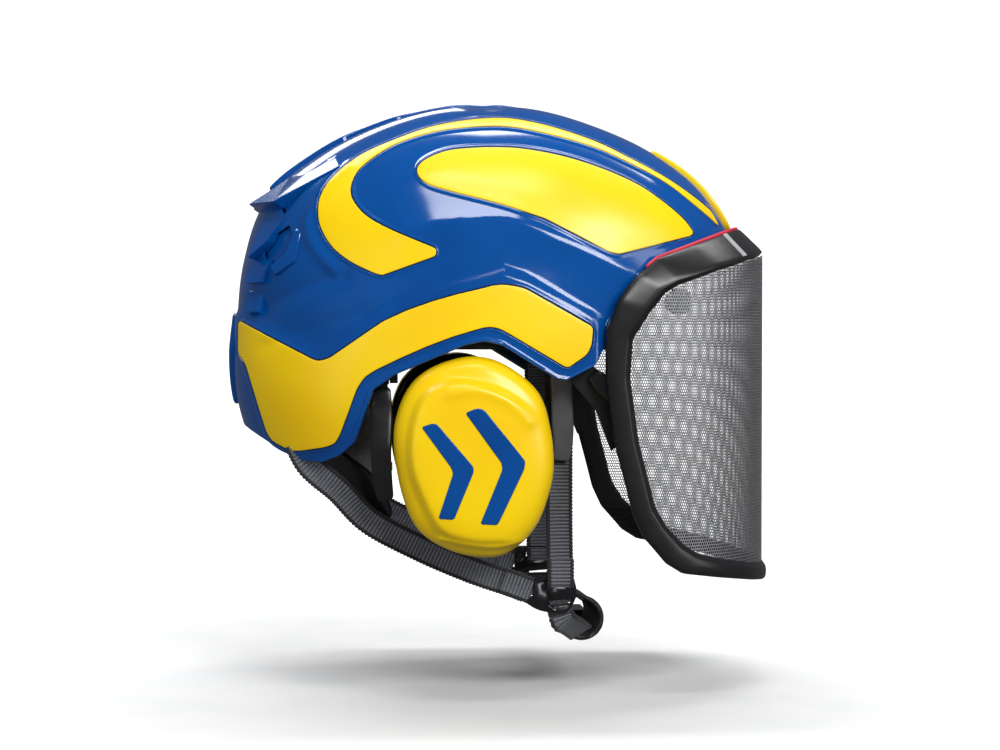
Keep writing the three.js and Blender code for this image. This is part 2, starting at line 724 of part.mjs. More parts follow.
// ---------------------------------------------------------------- chin straps
const webbing = (points, across, steps = 12) =>
  strip(points.map((at, i) => ({ at, across: across[i] ?? across.at(-1) })), WEBBING, WEBBING_WALL, steps);

function frontStrap() {
  const points = [
    [39, -76.5, 24], [39, -76.5, 0], [39.5, -76, -30], [39.5, -75, -60], [39.7, -73, -90],
    [40.5, -70, -119.5],
  ];
  return webbing(points, [[1, 0, 0]]);
}

function strapSleeve() {
  const points = [[39.6, -79.6, 16], [39.6, -79.6, -8], [39.5, -79.4, -32], [39, -78.8, -55]];
  return strip(points.map((at) => ({ at, across: [1, 0, 0] })), 13, 2.6, 8);
}

function rearStrap() {
  const points = [
    [-95, -75, -64], [-84, -76.5, -73], [-67, -77.5, -90], [-39, -74.5, -105.5], [-11, -72, -118],
    [15, -70, -127],
  ];
  const across = [
    [0.65, 0, 0.76], [0.6, 0, 0.8], [0.6, 0, 0.8], [0.42, 0, 0.9], [0.38, 0, 0.92], [0.35, 0, 0.94],
  ];
  return webbing(points, across, 14);
}

function strapSlider() {
  const shape = outline([[19, -120.5], [47.5, -120.5], [50.5, -134], [44, -144], [27, -141], [17, -134.5]]);
  const slots = [box(32, 46, -75, -65, -127.5, -124), box(21, 24, -75, -65, -134, -124)];
  return slots.reduce((body, slot) => body.subtract(slot), sidePrism(shape, -73, -67));
}

function chinStrap() {
  return webbing([[42, -69.5, -147.5], [48, -64, -151.5], [53, -56, -156.5]], [[0.94, 0.1, 0.33]], 6);
}

function chinPad() {
  const points = [[54, -54, -157.4], [58, -34, -162], [60, 0, -164], [58.5, 22, -162.8]];
  return strip(points.map((at) => ({ at, across: [0.97, 0, 0.2] })), 24, 3.2, 10);
}

const BUCKLE = { x: [47, 65], z: [-163, -155] };

function buckleSocket() {
  const [x0, x1] = BUCKLE.x;
  const [z0, z1] = BUCKLE.z;
  const pocket = box(x0 + 3, x1 - 3, 34, 50, z0 + 3.6, z1 - 1.6);
  const well = box(x0 + 5.5, x1 - 5.5, 27.5, 33, z0 - 1, z0 + 3.2);
  return box(x0, x1, 24.5, 45, z0, z1).subtract(pocket).subtract(well);
}

function buckleButton() {
  const [x0, x1] = BUCKLE.x;
  return box(x0 + 6, x1 - 6, 28, 32.5, BUCKLE.z[0] - 1, BUCKLE.z[0] + 1.6);
}

function bucklePlug() {
  const [x0, x1] = BUCKLE.x;
  const [z0, z1] = BUCKLE.z;
  const tongue = box(x0 + 3.6, x1 - 3.6, 35, 47, z0 + 4.1, z1 - 2.1);
  return box(x0, x1, 45.6, 54, z0 + 0.6, z1 - 0.4).add(tongue);
}

// ---------------------------------------------------------------- the helmet
add("outer_shell", outerShell(), BLUE);
add("inner_shell", innerShell(), DARK);
addInlays("side_band", sideBand, YELLOW);
addInlays("crown_stripe", crownStripe, YELLOW);
addInlays("leaf_panel", leafPanel, YELLOW);
add("front_badge_panel", badgePanel(), YELLOW);
add("crown_spine", crownSpine(), BLUE);
for (const { name, hole } of VENTS) {
  addPair("vent_cowl_" + name, ventCowl(hole), BLUE);
}

add("headband", headband(), BLACK);
add("forehead_pad", foreheadPad(), FELT);
add("crown_cradle", crownCradle(), FABRIC);
add("nape_yoke", napeYoke(), BLACK);
add("nape_pad", napePad(), FELT);
add("ratchet_housing", ratchetHousing(), BLACK);
add("ratchet_knob", ratchetKnob(), DARK);

add("visor_frame", visorFrame(), BLACK);
add("visor_mesh", visorMesh(), STEEL);
add("visor_seal", visorSeal(), RED);
addPair("visor_arm", visorArm(), BLACK);
addPair("visor_pivot_pin", pivotPin(), STEEL);

addPair("arm_block", armBlock(), BLACK);
addPair("cup_arm", cupArm(), BLACK);
addPair("cup_pin", cupPin(), STEEL);
addPair("cup_shell", cupShell(), YELLOW);
addPair("cup_chevron_front", chevron(CHEVRONS.front), BLUE);
addPair("cup_chevron_rear", chevron(CHEVRONS.rear), BLUE);
addPair("cup_backplate", cupBackplate(), BLACK);
addPair("ear_cushion", earCushion(), DARK);
addPair("cup_foam", cupFoam(), FOAM);

addPair("strap_sleeve", strapSleeve(), GREY);
addPair("front_strap", frontStrap(), FABRIC);
addPair("rear_strap", rearStrap(), FABRIC);
addPair("strap_slider", strapSlider(), BLACK);
addPair("chin_strap", chinStrap(), FABRIC);
add("chin_pad", chinPad(), BLACK);
add("buckle_socket", buckleSocket(), BLACK);
add("buckle_button", buckleButton(), GREY);
add("buckle_plug", bucklePlug(), BLACK);

export default helmet;
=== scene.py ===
# %% [markdown]
# # A forestry helmet, built around its measured frame
# The frame is the engineer's model: every piece has its place, its body and its joint there.
# This lesson gives each piece the surface that a moulder, weaver or upholsterer would give it.

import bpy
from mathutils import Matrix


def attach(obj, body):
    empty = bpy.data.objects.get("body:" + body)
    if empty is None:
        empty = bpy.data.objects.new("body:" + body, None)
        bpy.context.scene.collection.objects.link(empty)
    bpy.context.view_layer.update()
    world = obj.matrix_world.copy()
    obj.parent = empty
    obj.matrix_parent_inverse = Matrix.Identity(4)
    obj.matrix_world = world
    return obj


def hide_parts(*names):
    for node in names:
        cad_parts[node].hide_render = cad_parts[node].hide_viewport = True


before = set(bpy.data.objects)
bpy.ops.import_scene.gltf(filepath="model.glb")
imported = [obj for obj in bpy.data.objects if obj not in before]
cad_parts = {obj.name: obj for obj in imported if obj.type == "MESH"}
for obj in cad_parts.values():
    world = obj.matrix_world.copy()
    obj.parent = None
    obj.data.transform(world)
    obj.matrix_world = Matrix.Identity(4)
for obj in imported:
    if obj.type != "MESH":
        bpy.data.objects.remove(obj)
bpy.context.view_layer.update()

# %% [markdown]
# Blender measures in metres, while moulds are drawn in millimetres.
# The shapes below are worked out in millimetres with numpy, and scaled once, when a mesh is made.

# %% Units and modules
import math

import bmesh
import bpy
import numpy as np
from mathutils import Vector, geometry

MM = 0.001
SIDES = {"right": -1, "left": 1}  # the sign of y on each side of the wearer


def made(obj):
    print(f"{obj.name}: {len(obj.data.vertices)} vertices")
    return obj


# %% [markdown]
# ## Colours and materials
# A plastics maker gives colours as they look on a screen, in sRGB, while Blender computes with linear light.
# One function turns the hex value of a colour into linear numbers.


# %% Colour from hex
def linear(code):
    channels = [int(code[i : i + 2], 16) / 255 for i in (1, 3, 5)]
    return (*(c / 12.92 if c <= 0.04045 else ((c + 0.055) / 1.055) ** 2.4 for c in channels), 1.0)


# %% [markdown]
# Every finish here starts from the same shader, so one helper makes the material and another adds a node
# with its settings and links. Positions come from object coordinates, so a grain keeps its real size in
# millimetres and needs no unwrapping.


# %% Node helpers
def new_material(name, **sockets):
    material = bpy.data.materials.new(name)
    material.use_nodes = True
    shader = material.node_tree.nodes["Principled BSDF"]
    for key, value in sockets.items():
        shader.inputs[key.replace("_", " ")].default_value = value
    return material, material.node_tree, shader


def add(tree, kind, settings=None, values=None, links=None):
    node = tree.nodes.new(kind)
    for key, value in (settings or {}).items():
        setattr(node, key, value)
    for key, value in (values or {}).items():
        node.inputs[key].default_value = value
    for key, socket in (links or {}).items():
        tree.links.new(socket, node.inputs[key])
    return node


def grain(tree, size_mm, detail=2.0, roughness=0.5):
    """Noise whose spots are about size_mm across, measured on the object."""
    place = add(tree, "ShaderNodeTexCoord")
    return add(
        tree,
        "ShaderNodeTexNoise",
        values={"Scale": 1000 / size_mm, "Detail": detail, "Roughness": roughness},
        links={"Vector": place.outputs["Object"]},
    )


def ramp(tree, source, low, high, low_at=0.3, high_at=0.7):
    node = add(tree, "ShaderNodeValToRGB", links={"Fac": source})
    node.color_ramp.elements[0].position, node.color_ramp.elements[1].position = low_at, high_at
    node.color_ramp.elements[0].color, node.color_ramp.elements[1].color = low, high
    return node


def tinted(tree, shader, source, deep, colour, low_at=0.3, high_at=0.7):
    tint = ramp(tree, source, linear(deep), linear(colour), low_at, high_at)
    tree.links.new(tint.outputs["Color"], shader.inputs["Base Color"])


def roughened(tree, shader, source, low, high):
    """Roughness that follows a value from 0 to 1, spread from low to high."""
    rough = add(tree, "ShaderNodeMapRange", values={"To Min": low, "To Max": high}, links={"Value": source})
    tree.links.new(rough.outputs["Result"], shader.inputs["Roughness"])


def emboss(tree, shader, height, strength, depth_mm):
    values = {"Strength": strength, "Distance": depth_mm * MM}
    bump = add(tree, "ShaderNodeBump", values=values, links={"Height": height})
    tree.links.new(bump.outputs["Normal"], shader.inputs["Normal"])


def cells(tree, size_mm, randomness=1.0):
    """A pattern of cells about size_mm across; its value is the distance to the nearest border."""
    place = add(tree, "ShaderNodeTexCoord")
    return add(
        tree,
        "ShaderNodeTexVoronoi",
        {"feature": "DISTANCE_TO_EDGE"},
        {"Scale": 1000 / size_mm, "Randomness": randomness},
        {"Vector": place.outputs["Object"]},
    )


def mixed(tree, shader, share, first, second):
    """The base colour goes from the first ramp to the second as the share goes from 0 to 1."""
    links = {0: share, 6: first.outputs["Color"], 7: second.outputs["Color"]}
    mix = add(tree, "ShaderNodeMix", {"data_type": "RGBA"}, links=links)
    tree.links.new(mix.outputs[2], shader.inputs["Base Color"])


# %% [markdown]
# The shell, its coloured plates and the ear cups are injection-moulded ABS, with an IOR of about 1.54. The
# blue comes from a polished mould, and the yellow from a finely blasted one, which makes it satin. A part
# still shows a very faint orange peel a few millimetres across, a little haze where hands rub it, and colour
# that is not quite even through the wall.


# %% Moulded ABS
def moulded_abs(name, colour, deep, polish=(0.08, 0.15)):
    material, tree, shader = new_material(name, IOR=1.54)
    shade, haze, peel = grain(tree, 60, 3), grain(tree, 9, 5, 0.65), grain(tree, 2.6, 1.5)
    tinted(tree, shader, shade.outputs["Fac"], deep, colour, 0.28, 0.55)
    roughened(tree, shader, haze.outputs["Fac"], *polish)
    emboss(tree, shader, peel.outputs["Fac"], 0.05, 0.12)
    return material


BLUE_ABS = moulded_abs("blue_gloss_ABS_moulding", "#004B97", "#00428A")
YELLOW_ABS = moulded_abs("yellow_satin_ABS_moulding", "#FFD600", "#FBCC00", (0.26, 0.36))
# the dark blue of the strip in the gap round each plate is painted shade: the shadow that falls in the
# narrow gap
PAINTED_GAP_SHADE = moulded_abs("painted_shade_strip_in_the_panel_gap", "#001E4C", "#001638")
print("materials so far:", [m.name for m in bpy.data.materials])

# %% [markdown]
# The visor frame, arms and fittings are glass-filled nylon. The mould is spark-eroded, which leaves a
# grain of about half a millimetre that breaks the highlight into a soft sheen.


# %% Grained nylon
def grained_nylon(name, colour, deep, rough=(0.26, 0.38), depth_mm=0.04, bite=0.3):
    material, tree, shader = new_material(name, IOR=1.53)
    shade, wear, sparks = grain(tree, 14, 4), grain(tree, 5, 6, 0.7), grain(tree, 0.45, 2)
    tinted(tree, shader, shade.outputs["Fac"], deep, colour)
    roughened(tree, shader, wear.outputs["Fac"], *rough)
    emboss(tree, shader, sparks.outputs["Fac"], bite, depth_mm)
    return material


BLACK_NYLON = grained_nylon("black_grained_nylon", "#19191B", "#121214")
GREY_NYLON = grained_nylon("grey_satin_nylon", "#606167", "#535459", (0.3, 0.42), 0.03)
GLOSSY_NYLON = grained_nylon("black_polished_nylon", "#17181A", "#101113", (0.18, 0.28), 0.01, 0.12)
# the light grey of the brow stripe is a painted highlight on the edge where the brow's facets meet
PAINTED_EDGE_HIGHLIGHT_GREY = grained_nylon("painted_highlight_light_grey_nylon", "#A9ABAE", "#97999C", (0.3, 0.42), 0.02)
RED_LIP = grained_nylon("red_soft_rubber", "#D2213F", "#B91A35", (0.5, 0.62), 0.02)

# %% [markdown]
# Expanded foam is moulded from beads that press flat against each other. A Voronoi pattern is the same
# thing: cells that meet at straight borders, about three millimetres across.


# %% Bead foam and steel
def bead_foam():
    material, tree, shader = new_material("black_expanded_bead_foam", IOR=1.49, Roughness=0.85)
    beads = cells(tree, 3.2)
    tinted(tree, shader, beads.outputs["Distance"], "#151517", "#2A2A2D", 0.02, 0.2)
    emboss(tree, shader, beads.outputs["Distance"], 0.6, 0.5)
    return material


def steel(name, colour, deep, rough, line_mm):
    """Metal keeps the default IOR: its colour and roughness alone give the look."""
    material, tree, shader = new_material(name, Metallic=1.0)
    lines = grain(tree, line_mm, 4)
    tinted(tree, shader, lines.outputs["Fac"], deep, colour)
    roughened(tree, shader, lines.outputs["Fac"], *rough)
    return material


BEAD_FOAM = bead_foam()
PIN_STEEL = steel("turned_steel", "#B4B6BA", "#8E9094", (0.25, 0.4), 0.6)
ETCHED_STEEL = steel("etched_steel", "#B6B7BA", "#8E8F92", (0.45, 0.6), 1.2)


# %% [markdown]
# Webbing is woven polyester. The ribs across it are modelled further down as real ridges. The
# material adds the single threads, half a millimetre apart, and takes its black from an attribute that the
# strap's mesh carries: 1 at the black edge, nearly 1 in the valleys between ribs, where the black is painted
# shade, and 0 on top of a rib.


# %% Woven and felted cloth
def polyester_webbing():
    sheen = {"Sheen_Weight": 0.3, "Sheen_Roughness": 0.5}
    material, tree, shader = new_material("ribbed_polyester_webbing", IOR=1.5, **sheen)
    # this attribute is the real black edge plus painted shade in the valleys between ribs
    selvedge_and_valley_shade = add(tree, "ShaderNodeAttribute", {"attribute_name": "selvedge_and_valley_shade"})
    fuzz = grain(tree, 0.8, 4, 0.7)
    grey = ramp(tree, fuzz.outputs["Fac"], linear("#4C4E54"), linear("#7C7F87"))
    black = ramp(tree, fuzz.outputs["Fac"], linear("#0E0E10"), linear("#232327"))
    mixed(tree, shader, selvedge_and_valley_shade.outputs["Fac"], grey, black)
    roughened(tree, shader, fuzz.outputs["Fac"], 0.55, 0.8)
    threads = grain(tree, 0.5, 2)
    emboss(tree, shader, threads.outputs["Fac"], 0.5, 0.12)
    return material


def wool_felt():
    material, tree, shader = new_material("heather_grey_felt", IOR=1.5, Roughness=0.95, Sheen_Weight=0.5)
    fibres = grain(tree, 0.7, 6, 0.8)
    clumps = grain(tree, 6, 3)
    light = ramp(tree, fibres.outputs["Fac"], linear("#4A4747"), linear("#8D8A89"), 0.35, 0.65)
    dark = ramp(tree, fibres.outputs["Fac"], linear("#3A3838"), linear("#6C6969"), 0.35, 0.65)
    mixed(tree, shader, clumps.outputs["Fac"], light, dark)
    emboss(tree, shader, fibres.outputs["Fac"], 0.7, 0.3)
    return material


def soft_vinyl():
    """Vinyl film over foam: a pressed leather grain whose cells are about a millimetre across."""
    material, tree, shader = new_material("black_soft_vinyl", IOR=1.52)
    leather = cells(tree, 1.1, 0.9)
    tinted(tree, shader, leather.outputs["Distance"], "#0F0F10", "#232325", 0.0, 0.15)
    roughened(tree, shader, grain(tree, 7, 4).outputs["Fac"], 0.38, 0.55)
    emboss(tree, shader, leather.outputs["Distance"], 0.4, 0.15)
    return material


WEBBING = polyester_webbing()
FELT = wool_felt()
VINYL = soft_vinyl()
print(len(bpy.data.materials), "materials")

# %% [markdown]
# ## Curves and outlines
# A tool maker draws an outline with a few points and lets a spline run through them. These helpers do the
# same: a Catmull-Rom curve, an even spacing along it, and the distance from any point to it.


# %% Curve helpers
OUTLINE_STEP = 1.1  # millimetres between the points of an outline


def catmull(points, steps=8, closed=False):
    p = np.array(points, float)
    ends = (p[-1:], p[:2]) if closed else (2 * p[:1] - p[1:2], 2 * p[-1:] - p[-2:-1])
    q = np.vstack([ends[0], p, ends[1]])
    t = np.linspace(0, 1, steps, endpoint=False)[:, None]
    parts = [
        0.5 * (2 * b + (c - a) * t + (2 * a - 5 * b + 4 * c - d) * t**2 + (3 * b - a - 3 * c + d) * t**3)
        for a, b, c, d in zip(q, q[1:], q[2:], q[3:])
    ]
    return np.vstack(parts) if closed else np.vstack([*parts, p[-1:]])


def spaced(points, step, closed=False):
    p = np.array(points, float)
    if closed:
        p = np.vstack([p, p[:1]])
    run = np.concatenate([[0], np.cumsum(np.linalg.norm(np.diff(p, axis=0), axis=1))])
    count = max(int(round(run[-1] / step)), 2)
    at = np.linspace(0, run[-1], count + 1)[: count if closed else None]
    return np.stack([np.interp(at, run, p[:, k]) for k in range(p.shape[1])], 1)


def filleted(points, radius, steps=5):
    """A closed outline whose corners are rounded off, each over about the given radius."""
    p = np.array(points, float)
    out = []
    for before, corner, after in zip(np.roll(p, 1, 0), p, np.roll(p, -1, 0)):
        to_a, to_b = before - corner, after - corner
        a = corner + to_a * min(radius / np.linalg.norm(to_a), 0.45)
        b = corner + to_b * min(radius / np.linalg.norm(to_b), 0.45)
        for t in np.linspace(0, 1, steps):
            out.append((1 - t) ** 2 * a + 2 * t * (1 - t) * corner + t * t * b)
    return np.array(out)


def distance(points, line, closed=False):
    """The distance from each point to the nearest place on a line of points."""
    line = np.vstack([line, line[:1]]) if closed else np.array(line, float)
    best = np.full(len(points), np.inf)
    for a, b in zip(line, line[1:]):
        along = b - a
        t = np.clip(((points - a) @ along) / max(along @ along, 1e-12), 0, 1)
        best = np.minimum(best, np.linalg.norm(points - a - t[:, None] * along, axis=1))
    return best


def contains(points, outline):
    found = np.zeros(len(points), bool)
    for (xa, ya), (xb, yb) in zip(outline, np.roll(outline, -1, 0)):
        if ya == yb:
            continue
        crossing = (ya > points[:, 1]) != (yb > points[:, 1])
        x = xa + (points[:, 1] - ya) * (xb - xa) / (yb - ya)
        found ^= crossing & (points[:, 0] < x)
    return found


def anticlockwise(outline):
    """An outline as evenly spaced points that run anticlockwise."""
    loop = spaced(outline, OUTLINE_STEP, closed=True)
    after = np.roll(loop, -1, 0)
    area = np.sum(loop[:, 0] * after[:, 1] - after[:, 0] * loop[:, 1])
    return loop[::-1] if area < 0 else loop


def inward_of(loop):
    along = np.roll(loop, -1, 0) - np.roll(loop, 1, 0)
    return np.stack([-along[:, 1], along[:, 0]], 1) / np.linalg.norm(along, axis=1)[:, None]


def eased(low, high, value):
    t = np.clip((value - low) / (high - low), 0, 1)
    return t * t * (3 - 2 * t)


# %% [markdown]
# One function turns arrays of points in millimetres into a mesh, and one closes a stack of equal rings
# into a solid. Nearly every moulded piece below is a stack of rings.


# %% Mesh helpers
def new_object(name, points, faces, material, smooth=True):
    mesh = bpy.data.meshes.new(name)
    mesh.from_pydata((np.asarray(points) * MM).tolist(), [], faces)
    mesh.materials.append(material)
    mesh.polygons.foreach_set("use_smooth", [smooth] * len(mesh.polygons))
    mesh.update()
    obj = bpy.data.objects.new(name, mesh)
    bpy.context.scene.collection.objects.link(obj)
    return obj


def facing_out(obj):
    b = bmesh.new()
    b.from_mesh(obj.data)
    bmesh.ops.recalc_face_normals(b, faces=b.faces)
    if b.calc_volume(signed=True) < 0:
        bmesh.ops.reverse_faces(b, faces=b.faces)
    b.to_mesh(obj.data)
    b.free()
    return obj


def lofted(name, rings, material, joined=False, sharp=50):
    """A closed solid through rings of equal length, with a flat cap at each end unless it is joined up."""
    rings = np.asarray(rings, float)
    rows, count = rings.shape[:2]
    index = np.arange(rows * count).reshape(rows, count)
    low = index if joined else index[:-1]
    high = np.roll(index, -1, 0) if joined else index[1:]
    quads = np.stack([low, np.roll(low, -1, 1), np.roll(high, -1, 1), high], -1).reshape(-1, 4)
    faces = quads.tolist()
    if not joined:
        faces += [index[0, ::-1].tolist(), index[-1].tolist()]
    obj = facing_out(new_object(name, rings.reshape(-1, 3), faces, material))
    obj.data.set_sharp_from_angle(angle=math.radians(sharp))
    return obj


def flipped_copy(obj, name):
    """The same piece for the other side of the helmet: mirrored in the middle plane."""
    mesh = obj.data.copy()
    twin = bpy.data.objects.new(name, mesh)
    bpy.context.scene.collection.objects.link(twin)
    b = bmesh.new()
    b.from_mesh(mesh)
    bmesh.ops.scale(b, vec=(1, -1, 1), verts=b.verts)
    bmesh.ops.reverse_faces(b, faces=b.faces)
    b.to_mesh(mesh)
    b.free()
    return twin


def place(obj, body, slot, *nodes):
    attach(obj, body)
    if nodes:
        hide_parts(*nodes)
    return made(obj)


def place_pair(right, name, body, slot, *nodes):
    """Puts a piece on the right and its mirror image on the left; the shell carries both sides."""
    both = {"right": right, "left": flipped_copy(right, f"{name}_left")}
    for side, obj in both.items():
        carrier = body if body == "shell" else f"{body}_{side}"
        place(obj, carrier, slot, *[f"{node}_{side}" for node in nodes])
    return both.values()


# %% [markdown]
# ## The form of the shell
# The shell is measured by its radius from a point 20 mm above the origin: forwards, rearwards and
# sideways, every 15 degrees up from the tail. Between them a superellipse gives the cross section.
# The frame uses the same radii, so this surface and the measured one agree.

# %% The shell's radii
CENTRE = np.array([0.0, 0.0, 20.0])
FRONT = [172, 160, 154, 153.5, 157, 153.5, 143.5, 135, 131, 129]
REAR = [166, 154, 149.5, 145, 146, 147.5, 139.5, 133, 129.5, 129]
SIDE = [141, 120.5, 109, 104, 105, 110.5, 117, 123.5, 128, 129]


def between(radii, elevation):
    r = np.array([radii[0], *radii, radii[-2], radii[-3]], float)
    t = np.clip((np.degrees(elevation) + 45) / 15, 0, 9)
    i = np.minimum(t.astype(int), 9)
    f = t - i
    a, b, c, d = r[i], r[i + 1], r[i + 2], r[i + 3]
    return 0.5 * (2 * b + (c - a) * f + (2 * a - 5 * b + 4 * c - d) * f**2 + (3 * b - a - 3 * c + d) * f**3)


def base_radius(azimuth, elevation):
    power = 2 + 0.28 * np.cos(elevation)
    ends = np.where(np.cos(azimuth) >= 0, between(FRONT, elevation), between(REAR, elevation))
    total = (np.abs(np.cos(azimuth)) / ends) ** power
    total += (np.abs(np.sin(azimuth)) / between(SIDE, elevation)) ** power
    return total ** (-1 / power)


# %% [markdown]
# A real shell is stiffened by creases and steps pressed into its skin. They are written as a relief: how far
# the surface stands out at a place in the side view (x, z).
# A crease runs above the ear, the lower band flares out, the rim is rolled, and at the rear a curved edge
# stands round the hook of the yellow stripe, with a valley below it.

# %% Relief lines, in millimetres in the side view
UPPER_CREASE = catmull([(-46, 71), (-28, 75), (-11, 76.5), (11, 76.5), (38, 66), (77, 48), (104, 38)])
BAND_TOP = np.array(
    [(-150, 23), (-142, 23), (-98, 1), (-89, 2.5), (-60, 23), (-33, 34.5), (-6, 41), (6, 45), (18, 41)]
    + [(56, 20), (64, 16)]
)
HOOK_EDGE = catmull([(-78, 108), (-90, 96), (-100, 82), (-100.5, 70), (-95, 60), (-86, 50)])
REAR_VALLEY = catmull([(-84, 47), (-104, 41), (-128, 30)])
LOWER_VALLEY = catmull([(-70, 26), (-100, 18), (-124, 8)])
RIM = np.array(
    [(-180, -20), (-146, -36), (-122, -49), (-105, -56.5), (-94, -57), (-84, -53), (-76, -45.5)]
    + [(-66, -16.5), (-54, -8), (-15, 8.5), (-5, 10.5), (5, 8.5), (35, -10), (41, -11), (57, -3), (62, 6)]
    + [(62.6, 17), (80.5, 45.5), (89, 54), (118, 61), (150, 67), (180, 70)]
)


BAND_FLARE, RIM_ROLL, TOP_RADIUS = 2.4, 0.9, 0.4


def ridge(flat, line, height, width):
    """A crease: a narrow top that runs out smoothly to nothing at the given width."""
    near = np.sqrt(distance(flat, line) ** 2 + TOP_RADIUS**2)
    return height * np.clip(1 - near / width, 0, 1) ** 2


def relief(points):
    flat = points[:, [0, 2]]
    above_band = (flat[:, 1] - np.interp(flat[:, 0], *BAND_TOP.T)) * 0.85
    above_rim = (flat[:, 1] - np.interp(flat[:, 0], *RIM.T)) * 0.8
    out = BAND_FLARE * (1 - eased(0.2, 8, above_band)) * eased(66, 54, flat[:, 0])
    out += RIM_ROLL * (1 - eased(1.0, 2.4, above_rim))
    out += ridge(flat, UPPER_CREASE, 2.2, 20)
    out += ridge(flat, HOOK_EDGE, 2.4, 7)
    out -= ridge(flat, REAR_VALLEY, 2.6, 12) + ridge(flat, LOWER_VALLEY, 1.0, 9)
    side = eased(6, 26, np.abs(points[:, 1]))
    return out * side


def shell_points(azimuth, elevation, offset, with_relief=True):
    level = np.cos(elevation)
    ray = np.stack([level * np.cos(azimuth), level * np.sin(azimuth), np.sin(elevation)], -1)
    r = base_radius(azimuth, elevation)
    if with_relief:
        r = r + relief(CENTRE + ray * r[..., None])
    return CENTRE + ray * (r + offset)[..., None]


def outside(points):
    """How far a point lies outside the shell's skin, along its ray from the centre."""
    q = points - CENTRE
    r = np.linalg.norm(q, axis=1)
    ray = q / np.maximum(r, 1e-9)[:, None]
    skin = base_radius(np.arctan2(q[:, 1], q[:, 0]), np.arcsin(np.clip(ray[:, 2], -1, 1)))
    on_skin = CENTRE + ray * skin[:, None]
    return r - skin - relief(on_skin)


ear_width = base_radius(np.array([math.pi / 2]), np.array([0.0]))[0]
print("half width above the ears", round(float(ear_width), 1), "mm")

# %% [markdown]
# Two maps lay a flat drawing onto the skin: one from the side view, one from above. Each finds the surface
# by halving an interval, then lifts the point along the surface normal.


# %% Maps from a drawing to the skin
HALVINGS = 24
PROBE = 0.4  # millimetres to each side when a slope is measured


def normals_of(points):
    n = np.stack([outside(points + d) - outside(points - d) for d in np.eye(3) * PROBE], 1)
    return n / np.linalg.norm(n, axis=1)[:, None]


def searched(start, direction, low, high):
    """Slides each point along a direction until it meets the surface."""
    a, b = np.full(len(start), low, float), np.full(len(start), high, float)
    for _ in range(HALVINGS):
        middle = (a + b) / 2
        inner = outside(start + middle[:, None] * direction) < 0
        a, b = np.where(inner, middle, a), np.where(inner, b, middle)
    return start + ((a + b) / 2)[:, None] * direction


def onto_skin(start, direction, reach, height):
    on = searched(np.stack(start, 1), np.array(direction, float), 0, reach)
    return on + normals_of(on) * np.reshape(height, (-1, 1))


def from_side(side):
    def lift(flat, height):
        return onto_skin([flat[:, 0], np.zeros(len(flat)), flat[:, 1]], [0, side, 0], 150, height)

    return lift


def from_above(flat, height):
    return onto_skin([flat[:, 0], flat[:, 1], np.full(len(flat), 40.0)], [0, 0, 1], 130, height)


# %% [markdown]
# A panel is cut from sheet or moulded as a thin plate with a rounded edge. Its outline is filled with
# triangles, close together near the edge, where the rounding needs them, and wider in the middle.
# The walls then go down below the surface that the panel sits on.


# %% Panels that follow a surface
EDGE_INSETS = (0.12, 0.35, 0.6, 1.0)  # rings that round the edge, as shares of its radius


def panel(name, outline, lift, height, material, edge=0.9, sink=0.6, cell=2.2, dome=0.0):
    loop = anticlockwise(outline)
    inward = inward_of(loop)
    rings = [loop]
    for inset in EDGE_INSETS:
        ring = loop + inward * inset * edge
        rings.append(ring[distance(ring, loop, closed=True) > 0.9 * inset * edge])
    low, high = loop.min(0), loop.max(0)
    gx, gy = np.meshgrid(np.arange(low[0], high[0], cell), np.arange(low[1], high[1], cell * 0.87))
    gx[1::2] += cell / 2
    grid = np.stack([gx.ravel(), gy.ravel()], 1)
    grid = grid[contains(grid, loop)]
    rings.append(grid[distance(grid, loop, closed=True) > edge + 0.5 * cell])
    points = np.vstack(rings)
    count = len(loop)
    edges = [(i, (i + 1) % count) for i in range(count)]
    flat, _, faces, *_ = geometry.delaunay_2d_cdt([Vector(p) for p in points], edges, [], 1, 1e-4)
    flat = np.array([tuple(p) for p in flat])
    depth = distance(flat, loop, closed=True)
    near = edge - np.minimum(depth, edge)
    rise = height - edge + np.sqrt(np.maximum(edge**2 - near**2, 0)) + dome * eased(0, 12, depth)
    top = lift(flat, rise)
    skirt = lift(flat[:count], np.full(count, -sink))
    base = len(flat)
    faces = [list(f) for f in faces]
    faces += [[i, base + i, base + (i + 1) % count, (i + 1) % count] for i in range(count)]
    faces.append([base + i for i in range(count)])
    obj = facing_out(new_object(name, np.vstack([top, skirt]), faces, material))
    obj.data.set_sharp_from_angle(angle=math.radians(60))
    return obj

# %% [markdown]
# ## The outer shell
# The shell comes out of the mould as one wall 3 mm thick with a rolled rim. The grid below starts at the
# rim: its columns leave the edge evenly spaced and fan into meridians higher up, so that the mesh stays
# regular where the rim climbs steeply past the temple and round the ear.


# %% A wall that follows the skin
RIM_LOWEST, RIM_HIGHEST = math.radians(-58), math.radians(75)  # elevations between which a rim lies
CROWDING, CROWN = 1.15, 0.993  # rows crowd towards the rim and stop just short of the crown


